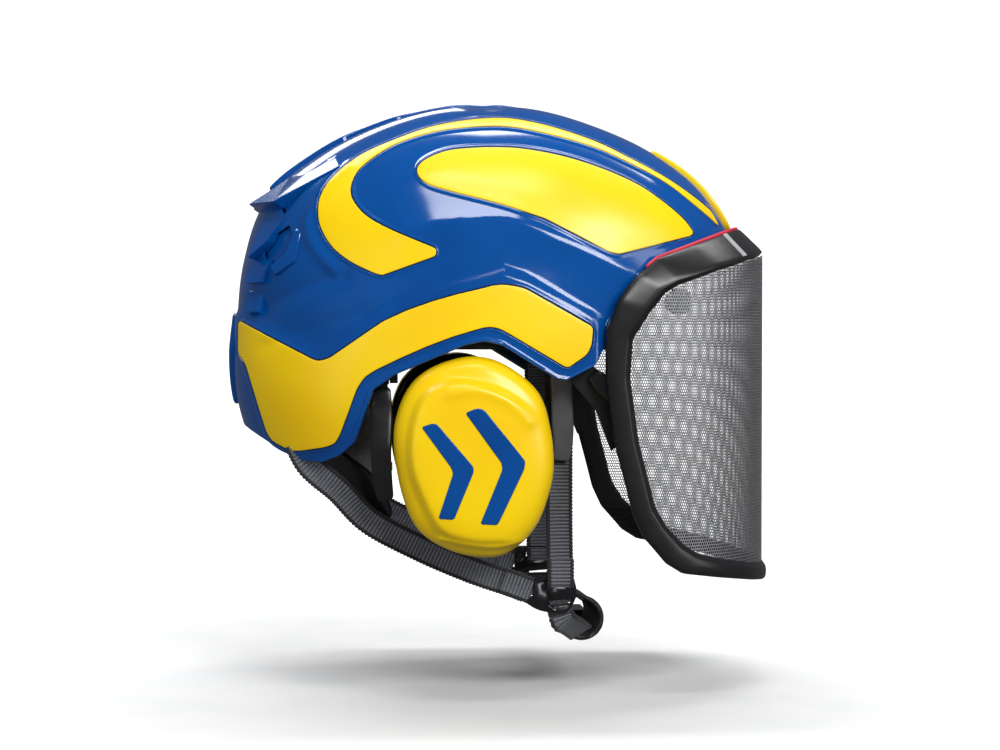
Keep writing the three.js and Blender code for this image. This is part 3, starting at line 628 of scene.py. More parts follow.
def skin_wall(name, edge_line, outer, inner, material, columns=640, rows=120, with_relief=True):
    sweep = np.linspace(0, 2 * math.pi, 6000, endpoint=False)
    low, high = np.full(sweep.shape, RIM_LOWEST), np.full(sweep.shape, RIM_HIGHEST)
    for _ in range(30):
        middle = (low + high) / 2
        p = shell_points(sweep, middle, outer, with_relief)
        below = p[:, 2] < np.interp(p[:, 0], *np.array(edge_line, float).T)
        low, high = np.where(below, middle, low), np.where(below, high, middle)
    p = shell_points(sweep, high, outer, with_relief)
    steps = np.linalg.norm(np.roll(p, -1, 0) - p, axis=1)
    run = np.concatenate([[0], np.cumsum(steps)])
    at = np.linspace(0, run[-1], columns, endpoint=False)
    edge_azimuth = np.interp(at, run, np.append(sweep, 2 * math.pi))
    edge_elevation = np.interp(at, run, np.append(high, high[0]))
    even = 2 * math.pi * np.arange(columns) / columns
    even += np.mean(edge_azimuth - even)
    radius = (outer - inner) / 2
    climb = np.linspace(0, 1, rows, endpoint=False) ** CROWDING * CROWN
    rings = [(t, inner, 0.0) for t in climb[::-1]]
    for a in np.radians(np.linspace(-90, 90, 9)[1:-1]):
        rings.append((0.0, (outer + inner) / 2 + radius * math.sin(a), radius * math.cos(a)))
    rings += [(t, outer, 0.0) for t in climb]
    stack = []
    for t, offset, beyond in rings:
        mix = eased(0, 0.6, t)
        azimuth = edge_azimuth * (1 - mix) + even * mix
        elevation = edge_elevation + (math.pi / 2 - edge_elevation) * t - (beyond - radius) / 130
        stack.append(shell_points(azimuth, elevation, offset, with_relief))
    return lofted(name, stack, material, sharp=40)


shell = skin_wall("shell_wall", RIM, 0.0, -3.0, BLUE_ABS)


# %% [markdown]
# The rear vents go right through the wall. A mould does that with a slide that pulls out to the back;
# here the same four holes are cut with a Boolean.


# %% Cut the rear vents
def prism(name, outline, low, high, material):
    """A side-view outline (x, z) as a solid between two distances from the middle plane."""
    flat = np.array(outline, float)
    ring = lambda y: np.stack([flat[:, 0], np.full(len(flat), y), flat[:, 1]], 1)
    return lofted(name, [ring(low), ring(high)], material, sharp=30)


def cut(obj, *cutters):
    for cutter in cutters:
        tool = obj.modifiers.new("cut", "BOOLEAN")
        tool.operation, tool.object, tool.solver = "DIFFERENCE", cutter, "EXACT"
        bpy.context.view_layer.objects.active = obj
        bpy.ops.object.modifier_apply(modifier=tool.name)
        bpy.data.objects.remove(cutter)


UPPER_VENT = [(-121, 92), (-107, 105), (-103, 97), (-115, 83)]
LOWER_VENT = [(-128, 66), (-112, 76), (-108, 64), (-124, 52)]
for name, hole in (("upper", UPPER_VENT), ("lower", LOWER_VENT)):
    for side, sign in SIDES.items():
        cut(shell, prism(f"{name}_{side}", hole, sign * 17, sign * 110, BLUE_ABS))
place(shell, "shell", "blue_shell", "outer_shell")

# %% [markdown]
# The inner shell is a second thin moulding 15 mm further in, black inside the blue.
# It carries the headband, the pivots and the straps, and takes up an impact before the head does.

# %% Inner shell
INNER_EDGE = [(-180, 4), (-112, -6), (-84, -6), (-66, 14), (14, 14), (26, 52), (60, 60), (89, 68), (180, 82)]
inner = skin_wall("inner_shell_wall", INNER_EDGE, -15.0, -18.0, BEAD_FOAM, 300, 60, with_relief=False)
place(inner, "shell", "black_plastic", "inner_shell")

# %% [markdown]
# Each plate sits in a seat: a narrow gap all round it, whose dark blue floor is painted shade, then a low
# rolled lip of the blue shell. The lip is what draws a bright line beside the yellow. Both are rings that
# follow the plate's outline.


# %% Seats round the panels
def grown(loop, by):
    out = loop - inward_of(loop) * by
    for _ in range(int(abs(by) * 3)):
        out = 0.25 * np.roll(out, 1, 0) + 0.5 * out + 0.25 * np.roll(out, -1, 0)
    return out


# each ring: how far outside the outline, and how high above the skin
# GAP is the dark strip of painted shade at the bottom of the gap
GAP = [(-0.5, -0.4), (-0.5, 0.12), (0.75, 0.12), (0.75, -0.4)]
LIP = [
    (0.65, -0.5), (0.65, 0.2), (0.75, 0.42), (0.95, 0.52), (1.25, 0.5), (1.8, 0.32), (2.4, 0.12),
    (3.0, -0.02), (3.0, -0.5),
]


def seat(name, outline, lift):
    loop = anticlockwise(outline)
    level = lambda by, height: lift(grown(loop, by), np.full(len(loop), height))
    # the gap ring is painted shade; the lip is real blue relief
    for part, steps, material, sharp in (("gap", GAP, PAINTED_GAP_SHADE, 50), ("lip", LIP, BLUE_ABS, 60)):
        rings = [level(*step) for step in steps]
        place(lofted(f"{name}_{part}", rings, material, joined=True, sharp=sharp), "shell", "blue_shell")


# %% [markdown]
# ## The yellow panels
# The two-colour look comes from separate plates pressed into shallow seats. Four are visible on
# each side: the long band, the hook-shaped stripe, the pointed oval, and a plate over the forehead.
# Their outlines mix splines with sharp corners that have a radius of about a millimetre.

# %% Panel outlines
BAND = [
    (-142.2, 22.6), (-98, 0.5), (-94.5, -0.2), (-89, 1.5), (-60, 21.5), (-47, 27.5), (-33, 32.5),
    (-19, 36.5), (-6, 39.5), (0, 41.2), (6, 41.7), (12, 41), (18, 39.5), (55.5, 18.5), (54.5, 8.5),
    (52, 3.5),
    (41, -4), (8, 15.5), (4, 17.6), (0, 18.6), (-4, 18.5), (-8, 17.5), (-22, 13.3), (-36, 8), (-50, 1.8),
    (-64, -5), (-70, -9), (-74, -15), (-83.5, -41), (-86.5, -46), (-92, -48), (-106, -50.5), (-111, -50.6),
    (-116, -48.5), (-122, -45.5), (-125, -41), (-137, -3), (-142.2, 4),
]
STRIPE_OUTER = [
    (131, 86), (119, 94), (102, 104.5), (80.5, 115.5), (59.5, 125.5), (28, 135.5), (4, 138.5), (-28, 133.5),
    (-53, 124.5), (-73, 115), (-87, 103), (-94, 92.5), (-95.5, 83), (-93.5, 73), (-87, 62.5), (-77, 54.5),
    (-65, 48.5), (-60, 47),
]
STRIPE_INNER = [
    (-30.5, 61.5), (-54, 71.5), (-68, 79.5), (-75.5, 88), (-77.5, 95.5), (-74.5, 104.5), (-67.5, 112),
    (-53, 121.5), (-33.5, 128.5), (-14, 132), (7.5, 133.2), (28, 130), (59, 121.5), (80, 112.5),
    (101.5, 101.5), (118.5, 89.5), (136, 77),
]
LEAF_TOP = [
    (29.5, 78.5), (5, 86.5), (-25, 94.5), (-36.5, 99), (-40.5, 105.5), (-36.5, 111.5), (-24.5, 117),
    (-10, 119), (6.5, 119.5), (21, 118.5), (42, 114.5), (63, 108), (84, 99), (100, 88.5),
    (111, 79.5), (116.5, 72.5),
]
stripe = [*catmull(STRIPE_OUTER, 6), (-30.8, 57.5), *catmull(STRIPE_INNER, 6)]
leaf = [*catmull(LEAF_TOP, 6), (115.4, 70.5), (71, 59), (65.5, 60)]

# each plate: its outline, how much its middle is domed, and the measured node it shows
PLATES = {
    "band": (filleted(BAND, 2.2), 0.0, "side_band"),
    "stripe": (filleted(stripe, 1.4, 3), 0.0, "crown_stripe"),
    "leaf": (filleted(leaf, 1.6, 3), 0.5, "leaf_panel"),
}
PLATE_HEIGHT, PLATE_EDGE = 0.62, 0.35
for side, sign in SIDES.items():
    lift = from_side(sign)
    for name, (outline, dome, node) in PLATES.items():
        seat(f"{name}_seat_{side}", outline, lift)
        piece = panel(f"{name}_{side}", outline, lift, PLATE_HEIGHT, YELLOW_ABS, edge=PLATE_EDGE, dome=dome)
        place(piece, "shell", "yellow_panel", f"{node}_{side}")

BADGE = [(100, 0), (100, 9), (108, 15), (134, 24), (143, 22.5), (148, 10), (148.5, 0)]
badge = [*BADGE, *[(x, -y) for x, y in BADGE[-2:0:-1]]]
plate = panel("badge_plate", filleted(badge, 3), from_above, 2.8, YELLOW_ABS, edge=1.4)
place(plate, "shell", "yellow_panel", "front_badge_panel")

# %% [markdown]
# Between the two ends of the band, the shell has a raised step at the middle of the tail. It is blue and
# moulded with the shell, and shows as a small shoulder in the outline.


# %% Tail step
def from_back(flat, height):
    return onto_skin([np.full(len(flat), -60.0), flat[:, 0], flat[:, 1]], [-1, 0, 0], 110, height)


TAIL = [(-9, 27), (9, 27), (21.5, 5), (17.5, -26), (-17.5, -26), (-21.5, 5)]
tail = panel("tail_step", filleted(TAIL, 4), from_back, 3.0, BLUE_ABS, edge=1.6)
place(tail, "shell", "blue_shell")

# %% [markdown]
# ## Crown spine and rear vents
# Air leaves the helmet at the back. A spine of overlapping steps runs down the crown, each a little higher
# than the one before, and ends between two pairs of hoods. Each hood is a plate that starts flush at the
# front and lifts towards the rear, where its mouth opens.


# %% Crown spine
def spine_step(start, end, half_width):
    nose = catmull([(start, -half_width), (start + 12, -half_width * 0.45), (start + 14, 0)], 5)
    nose = [*nose, *[(x, -y) for x, y in nose[-2::-1]]]
    return [*nose, (end, half_width * 0.8), (end, -half_width * 0.8)]


SPINE = [(10, -46, 11, 1.1), (-18, -74, 10.5, 1.8), (-50, -98, 10, 2.5), (-82, -124, 9.5, 3.2)]
for number, (start, end, half, height) in enumerate(SPINE):
    outline = filleted(spine_step(start, end, half), 2.5)
    step = panel(f"spine_step_{number}", outline, from_above, height, BLUE_ABS, edge=1.2)
    place(step, "shell", "blue_shell", *(["crown_spine"] if number == 0 else []))


# %% [markdown]
# A hood is lofted: two outlines of the same length, one on the skin and a smaller one raised above it. The
# lower edge stands out most, so that each hood turns a flat facet to the sky and keeps rain out of the vent.


# %% Vent hoods, fins and tail ribs
def hood(name, outline, heights, side, inset=0.93):
    lift = from_side(side)
    loop = filleted(outline, 0.8, 3)
    count = len(loop)
    middle = loop.mean(0)
    tops = np.repeat(np.array(heights, float), 3)
    rings = [
        lift(loop, np.full(count, -1.2)),
        lift(loop, np.full(count, 0.2)),
        lift(middle + (loop - middle) * (inset + 0.03), np.maximum(tops - 0.4, 0.25)),
        lift(middle + (loop - middle) * inset, tops),
    ]
    return lofted(name, rings, BLUE_ABS, sharp=24)


# each hood: its outline and how far each corner stands out
HOODS = {
    "shelf": (
        [(-131, 85.5), (-117, 86), (-82, 110), (-85, 117), (-113, 105), (-128, 98)],
        [8, 7, 0.8, 0.4, 0.5, 0.8],
    ),
    "fin": ([(-127, 80), (-115, 80), (-122, 66), (-131, 56)], [0.8, 0.6, 4.2, 6.5]),
    "pocket_lip": (
        [(-121, 52), (-112, 59), (-108, 74), (-105, 72), (-108, 55), (-119, 47)],
        [3.2, 3.0, 1.2, 0.6, 1.6, 2.4],
    ),
    "rib": ([(-131, 56), (-122, 57), (-126, 43), (-134, 43)], [0.8, 0.6, 4.2, 5]),
    "tail_rib": ([(-136, 40), (-127, 38), (-128, 26), (-134.5, 25)], [0.8, 0.6, 3.8, 4.4]),
}
FLOORS = {
    "upper": [(-118, 94), (-105, 106.5), (-101, 96), (-115, 81)],
    "lower": [(-124, 69), (-110.5, 77.5), (-106, 63), (-124, 50), (-128, 57)],
}
for side, sign in SIDES.items():
    for name, outline in FLOORS.items():
        shape, lift = filleted(outline, 1), from_side(sign)
        floor = panel(f"vent_floor_{name}_{side}", shape, lift, -2.0, BLUE_ABS, edge=0.3, sink=3.4)
        place(floor, "shell", "blue_shell")
    for name, (outline, heights) in HOODS.items():
        piece = hood(f"vent_{name}_{side}", outline, heights, sign)
        cad = {"shelf": [f"vent_cowl_upper_{side}"], "fin": [f"vent_cowl_lower_{side}"]}.get(name, [])
        place(piece, "shell", "blue_shell", *cad)

# %% [markdown]
# ## The visor
# The frame is one loop of glass-filled nylon. In plan it follows a superellipse from ear to ear; in side
# view its outer and inner edges are straight runs with short corners. Its brow leans back onto the shell.
# Both edges are listed from the middle of the brow round to the middle of the chin, then mirrored.

# %% Visor measures
VISOR_BACK, VISOR_LENGTH, VISOR_HALF, VISOR_POWER = 60, 108.5, 105, 2.4
BROW = [(152.8, 0, 78), (149, -29, 77), (138.5, -54, 74), (115.5, -78, 66), (92, -94, 57.5), (80, -101, 48)]
OUTER = [
    (69.5, 34), (62.6, 17), (62.5, -11), (68, -47.5), (78, -85), (84, -97.5), (97.5, -112.5),
    (107.5, -118.5), (130, -122), (152, -126), (164, -129), (168.5, -130),
]
INNER = [
    (168.5, 61), (164, 60), (152, 56.5), (130, 50), (106, 42), (97, 37), (88, 27), (78, 12), (76.5, -10),
    (81.5, -45), (91, -81), (98, -92), (108, -102), (117, -107.5), (131, -111), (152, -115.5),
    (164, -118), (168.5, -119),
]
STEPS = 12


def plan_turn(x):
    return np.arccos(np.clip((np.asarray(x, float) - VISOR_BACK) / VISOR_LENGTH, 0, 1) ** (VISOR_POWER / 2))


def plan_point(turn, z):
    """A point of the visor's plan curve; a turn of 0 is the nose, and a positive turn the right side."""
    x = VISOR_BACK + VISOR_LENGTH * np.abs(np.cos(turn)) ** (2 / VISOR_POWER)
    y = -np.sign(turn) * VISOR_HALF * np.abs(np.sin(turn)) ** (2 / VISOR_POWER)
    return np.stack([x, y, z + 0 * x], -1)


def plan_inward(p):
    a = np.clip((p[..., 0] - VISOR_BACK) / VISOR_LENGTH, 1e-6, 1) ** (VISOR_POWER - 1) / VISOR_LENGTH
    b = (np.abs(p[..., 1]) / VISOR_HALF) ** (VISOR_POWER - 1) / VISOR_HALF
    n = np.stack([-a, -np.sign(p[..., 1]) * b, 0 * a], -1)
    return n / np.linalg.norm(n, axis=-1, keepdims=True)


def finer(values):
    """STEPS straight steps between each two rows."""
    v = np.array(values, float)
    at = np.arange((len(v) - 1) * STEPS + 1) / STEPS
    return np.stack([np.interp(at, np.arange(len(v)), v[:, k]) for k in range(v.shape[1])], 1)


def half_edges():
    turn_z = lambda line: finer(np.stack([plan_turn([p[0] for p in line]), [p[1] for p in line]], 1))
    inner_line = turn_z(INNER)
    lip = plan_point(inner_line[:, 0], inner_line[:, 1])
    outer_line = turn_z(OUTER)
    side = plan_point(outer_line[:, 0], outer_line[:, 1])
    smooth = catmull([*BROW, side[0]], STEPS)[:-1]
    facets = finer([*BROW, side[0]])[:-1]
    brow = np.where(np.arange(len(smooth))[:, None] < 3 * STEPS, smooth, facets)
    return np.vstack([brow, side]), lip


def whole_loop(half):
    """Both halves, with every station moved to the mean of itself and its two neighbours."""
    loop = np.vstack([half, (half[1:-1] * [1, -1, 1])[::-1]])
    return sum(np.roll(loop, k, 0) for k in (-1, 0, 1)) / 3


front_half, lip_half = half_edges()
front_edge, lip_edge = whole_loop(front_half), whole_loop(lip_half)
STATIONS = len(front_edge)
FRAME_DEPTH, BROW_DEPTH, BROW_RUN, BLEND = 5.5, 3, 5 * STEPS, 8
is_brow = np.zeros(STATIONS)
is_brow[:BROW_RUN] = is_brow[-BROW_RUN:] = 1
is_brow = (sum(np.roll(is_brow, k) for k in range(-BLEND, BLEND + 1)) / (2 * BLEND + 1))[:, None]
lip_back = lip_edge + plan_inward(lip_edge) * FRAME_DEPTH
side_back = front_edge + plan_inward(front_edge) * FRAME_DEPTH
front_back = side_back * (1 - is_brow) + (front_edge + [0, 0, -BROW_DEPTH]) * is_brow
print(STATIONS, "stations round the visor frame")

# %% [markdown]
# At every station the frame has the same profile: a face that is very slightly crowned, a rounded outer
# corner, and a chamfer about 3 mm wide that runs down to the mesh. The profile is written in millimetres
# from the outer edge and from the front.


# %% Visor frame
def across_frame(a, b, share=None):
    """Points on every station: a from the outer edge, or from the lip if negative, and b from the front."""
    width = np.linalg.norm(lip_edge - front_edge, axis=1)[:, None]
    deep = np.linalg.norm(front_back - front_edge, axis=1)[:, None]
    s = share if share is not None else (a / width if a >= 0 else 1 + a / width)
    t = b / np.maximum(deep, BROW_DEPTH)
    face = front_edge * (1 - s) + lip_edge * s
    rear = front_back * (1 - s) + lip_back * s
    return face * (1 - t) + rear * t


PROFILE = [
    (0, 2.2), (0.2, 1.3), (0.7, 0.5), (1.5, 0.05), (2.6, -0.2), (5.5, -0.35), (-7, -0.35), (-4.2, -0.1),
    (-3.7, 0.05), (-3.3, 0.3), (-0.9, 1.9), (-0.4, 2.4), (-0.05, 3.2), (-1e-6, 4.6), (-0.5, 5.3),
    (-1.3, 5.5), (-5, 5.5), (5, 5.5), (1.4, 5.5), (0.5, 5.2), (0, 4.6),
]
rings = np.stack([across_frame(a, b) for a, b in PROFILE], 1)
frame_body = lofted("visor_frame_loop", rings, BLACK_NYLON, joined=True, sharp=28)
place(frame_body, "visor", "black_plastic", "visor_frame")

# %% [markdown]
# A thin light grey stripe crosses the brow on each side, where the front facet starts: it is a painted
# highlight, the gleam on the edge between the side and front facets. Two small grey clips hold the mesh
# behind the top corners, and the back of the lower bar is hatched with moulded ribs, which stiffen it
# without adding much plastic.


# %% Visor details
def frame_patch(name, stations, shares, b_range, material, steps=8):
    """A small raised bar on the frame, between two stations and two shares of its width."""
    (start, end), (a0, a1), (b0, b1) = stations, shares, b_range
    out = []
    for k in np.linspace(0, 1, steps):
        a = a0 + (a1 - a0) * k
        ring = []
        for station, b in ((start, b0), (start, b1), (end, b1), (end, b0)):
            low = int(math.floor(station))
            rows = across_frame(0, b, share=a)
            f = station - low
            ring.append(rows[low % STATIONS] * (1 - f) + rows[(low + 1) % STATIONS] * f)
        out.append(ring)
    return lofted(name, out, material, sharp=30)


# the brow stripe is a light grey bar that paints the highlight on the edge where the side and front facets
# meet
STRIPE_AT, STRIPE_WIDE = 25.5, 1.5  # in stations
for side, at in (("right", STRIPE_AT), ("left", STATIONS - STRIPE_AT - STRIPE_WIDE)):
    span = (at, at + STRIPE_WIDE)
    highlight_bar = frame_patch(f"brow_edge_highlight_{side}", span, (0.08, 0.78), (-0.8, 0.8), PAINTED_EDGE_HIGHLIGHT_GREY)
    place(highlight_bar, "visor", "black_plastic")


def joined(name, pieces):
    bpy.ops.object.select_all(action="DESELECT")
    for piece in pieces:
        piece.select_set(True)
    bpy.context.view_layer.objects.active = pieces[0]
    bpy.ops.object.join()
    pieces[0].name = name
    return pieces[0]


def behind_mesh(side):
    """Lays a side-view drawing on the back of the mesh; heights go forwards."""

    def lift(flat, height):
        on = plan_point(plan_turn(flat[:, 0]) * -side, flat[:, 1])
        return on + plan_inward(on) * (MESH_CLIP_DEPTH - np.reshape(height, (-1, 1)))

    return lift


MESH_CLIP_DEPTH = 8.0
clip_outline = filleted([(98, 35), (106, 41), (114, 38), (113, 27), (105, 25), (99, 29)], 2)
for side, sign in SIDES.items():
    lift = behind_mesh(sign)
    clip_piece = panel(f"mesh_clip_{side}", clip_outline, lift, 2.2, GREY_NYLON, edge=0.6, sink=1.0)
    place(clip_piece, "visor", "black_plastic")

HATCH_FROM, HATCH_TO, HATCH_PITCH, HATCH_LEAN = 11.2 * STEPS, 17 * STEPS, 1.5, 6  # in stations
near_edge, near_lip = across_frame(1.6, 5.4), across_frame(-1.6, 5.4)
inwards = plan_inward((near_edge + near_lip) / 2)
for side in SIDES:
    bars = []
    for k in np.arange(HATCH_FROM, HATCH_TO, HATCH_PITCH):
        i, j = int(k), min(int(k) + HATCH_LEAN, HATCH_TO)
        if side == "left":
            i, j = (STATIONS - i) % STATIONS, (STATIONS - j) % STATIONS
        low, high, push = near_edge[i], near_lip[j], inwards[i]
        wide = (near_edge[(i + 1) % STATIONS] - near_edge[i - 1]) * 0.12
        foot, top = push * 0.3, push * 1.1
        ring = lambda p: [p - wide - foot, p + wide - foot, p + wide * 0.7 + top, p - wide * 0.7 + top]
        bars.append(lofted(f"hatch_{side}_{len(bars)}", [ring(low), ring(high)], BLACK_NYLON, sharp=30))
    place(joined(f"visor_hatching_{side}", bars), "visor", "black_plastic")

# %% [markdown]
# A soft red lip closes the gap between brow and shell. It is extruded rubber, pressed over the edge, so it
# is a bead with a round nose rather than a flat strip.

# %% Red brow seal
SEAL_RADIUS, SEAL_ENDS, UP = 1.15, 4 * STEPS + 6, np.array([0, 0, 1.0])
around = np.linspace(0, 2 * math.pi, 12, endpoint=False)
bead = []
for p in np.vstack([front_edge[-SEAL_ENDS:], front_edge[: SEAL_ENDS + 1]]):
    back = plan_inward(p + np.array([12.0, 0, 0]))
    centre = p + back - UP * 0.7
    bead.append([centre + SEAL_RADIUS * (math.cos(a) * UP + math.sin(a) * back) for a in around])
seal = lofted("brow_seal_bead", bead, RED_LIP, sharp=60)
place(seal, "visor", "red_seal", "visor_seal")

# %% [markdown]
# The mesh is steel sheet 0.25 mm thick, etched with staggered six-sided holes on a pitch of 1.48 mm and
# stretched in height. It is left bare, so it is bright where light falls on it. The holes are real geometry:
# cells of a honeycomb laid out flat, then bent round the plan curve. Each half of the visor is one piece.

# %% Etched mesh
PITCH, TALL, BAR, SHEET = 1.48, 1.36, 0.48, 0.25
MESH_REAR, MESH_LOW, MESH_HIGH = 77.2, -125, 70  # x where the mesh ends, and its span in z
TOP_MARGIN, BOTTOM_TUCK, MESH_INSET = 0.2, 3, 2.5


def edge_height(line, x):
    z = np.full(x.shape, np.nan)
    for (xa, za), (xb, zb) in zip(line, line[1:]):
        hit = (x - xa) * (x - xb) <= 0
        z = np.where(hit & np.isnan(z), za + (zb - za) * (x - xa) / ((xb - xa) or 1), z)
    return z


def honeycomb(name, turned):
    turns = np.linspace(0, plan_turn(MESH_REAR), 800)
    curve = plan_point(turns, 0.0)
    run = np.concatenate([[0], np.cumsum(np.linalg.norm(np.diff(curve, axis=0), axis=1))])
    columns = np.arange(PITCH * 0.25, run[-1], PITCH / 2)
    rows = np.arange(MESH_LOW, MESH_HIGH, TALL * PITCH * math.sqrt(3) / 2)
    u, z = np.meshgrid(columns, rows)
    odd = (np.add.outer(np.arange(len(rows)), np.arange(len(columns))) % 2).astype(bool)
    centres = np.stack([u[odd], z[odd]], 1)
    x = np.interp(centres[:, 0], run, curve[:, 0])
    split = INNER.index((76.5, -10))
    top, bottom = edge_height(INNER[: split + 1], x), edge_height(INNER[split:], x)
    centres = centres[(centres[:, 1] < top - TOP_MARGIN) & (centres[:, 1] > bottom - BOTTOM_TUCK)]
    angles = np.radians(np.arange(6) * 60 + 30)
    star = np.stack([np.cos(angles), TALL * np.sin(angles)], 1)
    reach = PITCH / math.sqrt(3)
    corners = (centres[:, None] + star * reach).reshape(-1, 2)
    keys, where = np.unique(np.round(corners / (PITCH / 12)).astype(int), axis=0, return_inverse=True)
    firsts = np.zeros((len(keys), 2))
    firsts[where.ravel()] = corners
    holes = (centres[:, None] + star * (reach - BAR / math.sqrt(3))).reshape(-1, 2)
    outer = where.reshape(-1, 6)
    inside = len(keys) + np.arange(len(holes)).reshape(-1, 6)
    faces = np.stack([outer, np.roll(outer, -1, 1), np.roll(inside, -1, 1), inside], -1).reshape(-1, 4)
    flat = np.vstack([firsts, holes])
    turn = np.interp(flat[:, 0], run, turns, left=0) * turned
    on = plan_point(np.where(turn == 0, 1e-9, turn), flat[:, 1])
    on += plan_inward(on) * MESH_INSET
    sheet = new_object(name, on, faces.tolist(), ETCHED_STEEL, smooth=False)
    thick = sheet.modifiers.new("thickness", "SOLIDIFY")
    thick.thickness, thick.offset = SHEET * MM, 0
    return sheet


for side, turned, nodes in (("right", 1, ["visor_mesh"]), ("left", -1, [])):
    place(honeycomb(f"etched_mesh_{side}", turned), "visor", "etched_mesh", *nodes)

# %% [markdown]
# ## The ear cups
# Each cup is a deep dish with a soft egg-shaped outline. Its face has a plateau with a step on the rear
# side, a ridge along the bottom, and two faint arcs above, where a hand pulls the cup off the ear.

# %% Cup form
CUP = np.array([-11.0, -52.0])
CUP_OUTLINE = catmull(
    [(0, 54.6), (18, 50), (36, 35), (43, 14), (44.5, -7), (41, -24), (34.5, -39), (24, -50), (11, -55.5)]
    + [(-10, -52.5), (-29, -41), (-38.5, -21), (-43, 6), (-41, 24), (-33.5, 39.5), (-20, 49.6)],
    40,
    closed=True,
)
CUP_DEPTH = catmull(
    [(0.95, 90), (0.985, 96), (1, 103), (0.985, 110), (0.94, 115), (0.85, 118.5), (0.68, 120.7)]
    + [(0.4, 121.5), (0.02, 121.8)],
    8,
)
PLATEAU = catmull(
    [(-45, -37), (-45, -58), (-37, -79), (-29, -92), (-15, -97), (0, -98), (16, -96), (28, -84), (35, -58)]
    + [(32, -40), (19, -26), (0, -15), (-21, -11), (-38, -19)],
    5,
    closed=True,
)
LOWER_RIDGE = catmull([(-29, -96), (-12, -99.5), (4, -100), (20, -96.5)])
UPPER_ARC = catmull([(-24, -17), (-8, -15.5), (8, -22), (19, -33)])


def cup_relief(flat):
    depth = distance(flat, PLATEAU, closed=True) * np.where(contains(flat, PLATEAU), 1, -1)
    out = 3.4 * eased(-2.8, 2.0, depth) * eased(30, 4, flat[:, 0])
    out += ridge(flat, LOWER_RIDGE, 2.7, 3.8) + ridge(flat, UPPER_ARC, 1.1, 7)
    return out - 1.1 * eased(8, 0, np.abs(depth + 4)) * eased(20, -20, flat[:, 0])


def cup_points(scale, y, outline=CUP_OUTLINE):
    flat = CUP + outline * scale
    return np.stack([flat[:, 0], np.full(len(flat), -y), flat[:, 1]], 1)


angle_of = np.arctan2(CUP_OUTLINE[:, 1], CUP_OUTLINE[:, 0])
order = np.argsort(angle_of)
reach_of = np.linalg.norm(CUP_OUTLINE, axis=1)[order]
angle_of = angle_of[order]
face_scale, face_y = CUP_DEPTH[CUP_DEPTH[:, 1] >= 103].T


CUP_PROBE = 0.6  # millimetres to each side when the slope of the face is measured


def from_cup(side):
    """Lays a side-view drawing onto the cup's face."""

    def face(flat):
        q = flat - CUP
        reach = np.interp(np.arctan2(q[:, 1], q[:, 0]), angle_of, reach_of, period=2 * math.pi)
        scale = np.linalg.norm(q, axis=1) / reach
        return np.interp(scale, face_scale[::-1], face_y[::-1]) + cup_relief(flat)

    def lift(flat, height):
        y = face(flat)
        slopes = [(face(flat + d) - face(flat - d)) / (2 * CUP_PROBE) for d in np.eye(2) * CUP_PROBE]
        n = np.stack([-slopes[0], np.ones(len(flat)), -slopes[1]], 1)
        n /= np.linalg.norm(n, axis=1)[:, None]
        on = np.stack([flat[:, 0], y, flat[:, 1]], 1) + n * np.reshape(height, (-1, 1))
        return on * [1, side, 1]

    return lift


dish = []
for scale, y in [(0.87, 93), (0.88, 90.4), (0.9, 89.9), (0.94, 90.1), *CUP_DEPTH]:
    ring = cup_points(scale, y)
    swell = cup_relief(ring[:, [0, 2]]) * eased(104, 116, y)
    ring[:, 1] -= swell
    dish.append(ring)
cup_right = lofted("cup_dish_right", dish, YELLOW_ABS, sharp=60)
place_pair(cup_right, "cup_dish", "cup", "yellow_panel", "cup_shell")
CHEVRONS = {
    "front": [
        (-16, -27.5), (-10, -25), (-6, -25.5), (16.5, -53.5), (16, -58), (1.5, -88), (-8, -87.5), (4, -58),
        (3.5, -54.5),
    ],
    "rear": [
        (-39.5, -35), (-33.5, -33), (-31, -33.5), (-11.5, -56.5), (-11.5, -59.5), (-22, -85),
        (-30.5, -84.5), (-22.5, -60), (-23.5, -57),
    ],
}
for side, sign in SIDES.items():
    for name, outline in CHEVRONS.items():
        shape, lift = filleted(outline, 1.2, 4), from_cup(sign)
        mark = panel(f"chevron_{name}_{side}", shape, lift, 0.5, BLUE_ABS, edge=0.5, cell=1.8)
        place(mark, f"cup_{side}", "blue_shell", f"cup_chevron_{name}_{side}")

# %% [markdown]
# ## Ear cushions and pads
# A cushion is foam wrapped in vinyl film and welded along its base. To get the shape that only stretched
# film has, the piece is remeshed evenly and its skin is blown up a little as cloth, with the welded part
# pinned. Twenty frames are enough, and nothing may move further than a foam this thick would let it.


# %% Stuffing by cloth simulation
CLOTH_FRAMES = 20


def apply_all(obj):
    bpy.context.view_layer.objects.active = obj
    for modifier in list(obj.modifiers):
        bpy.ops.object.modifier_apply(modifier=modifier.name)


def nothing(points):
    """Pins no point of a pad, for one that is loose all round."""
    return np.zeros(len(points), bool)


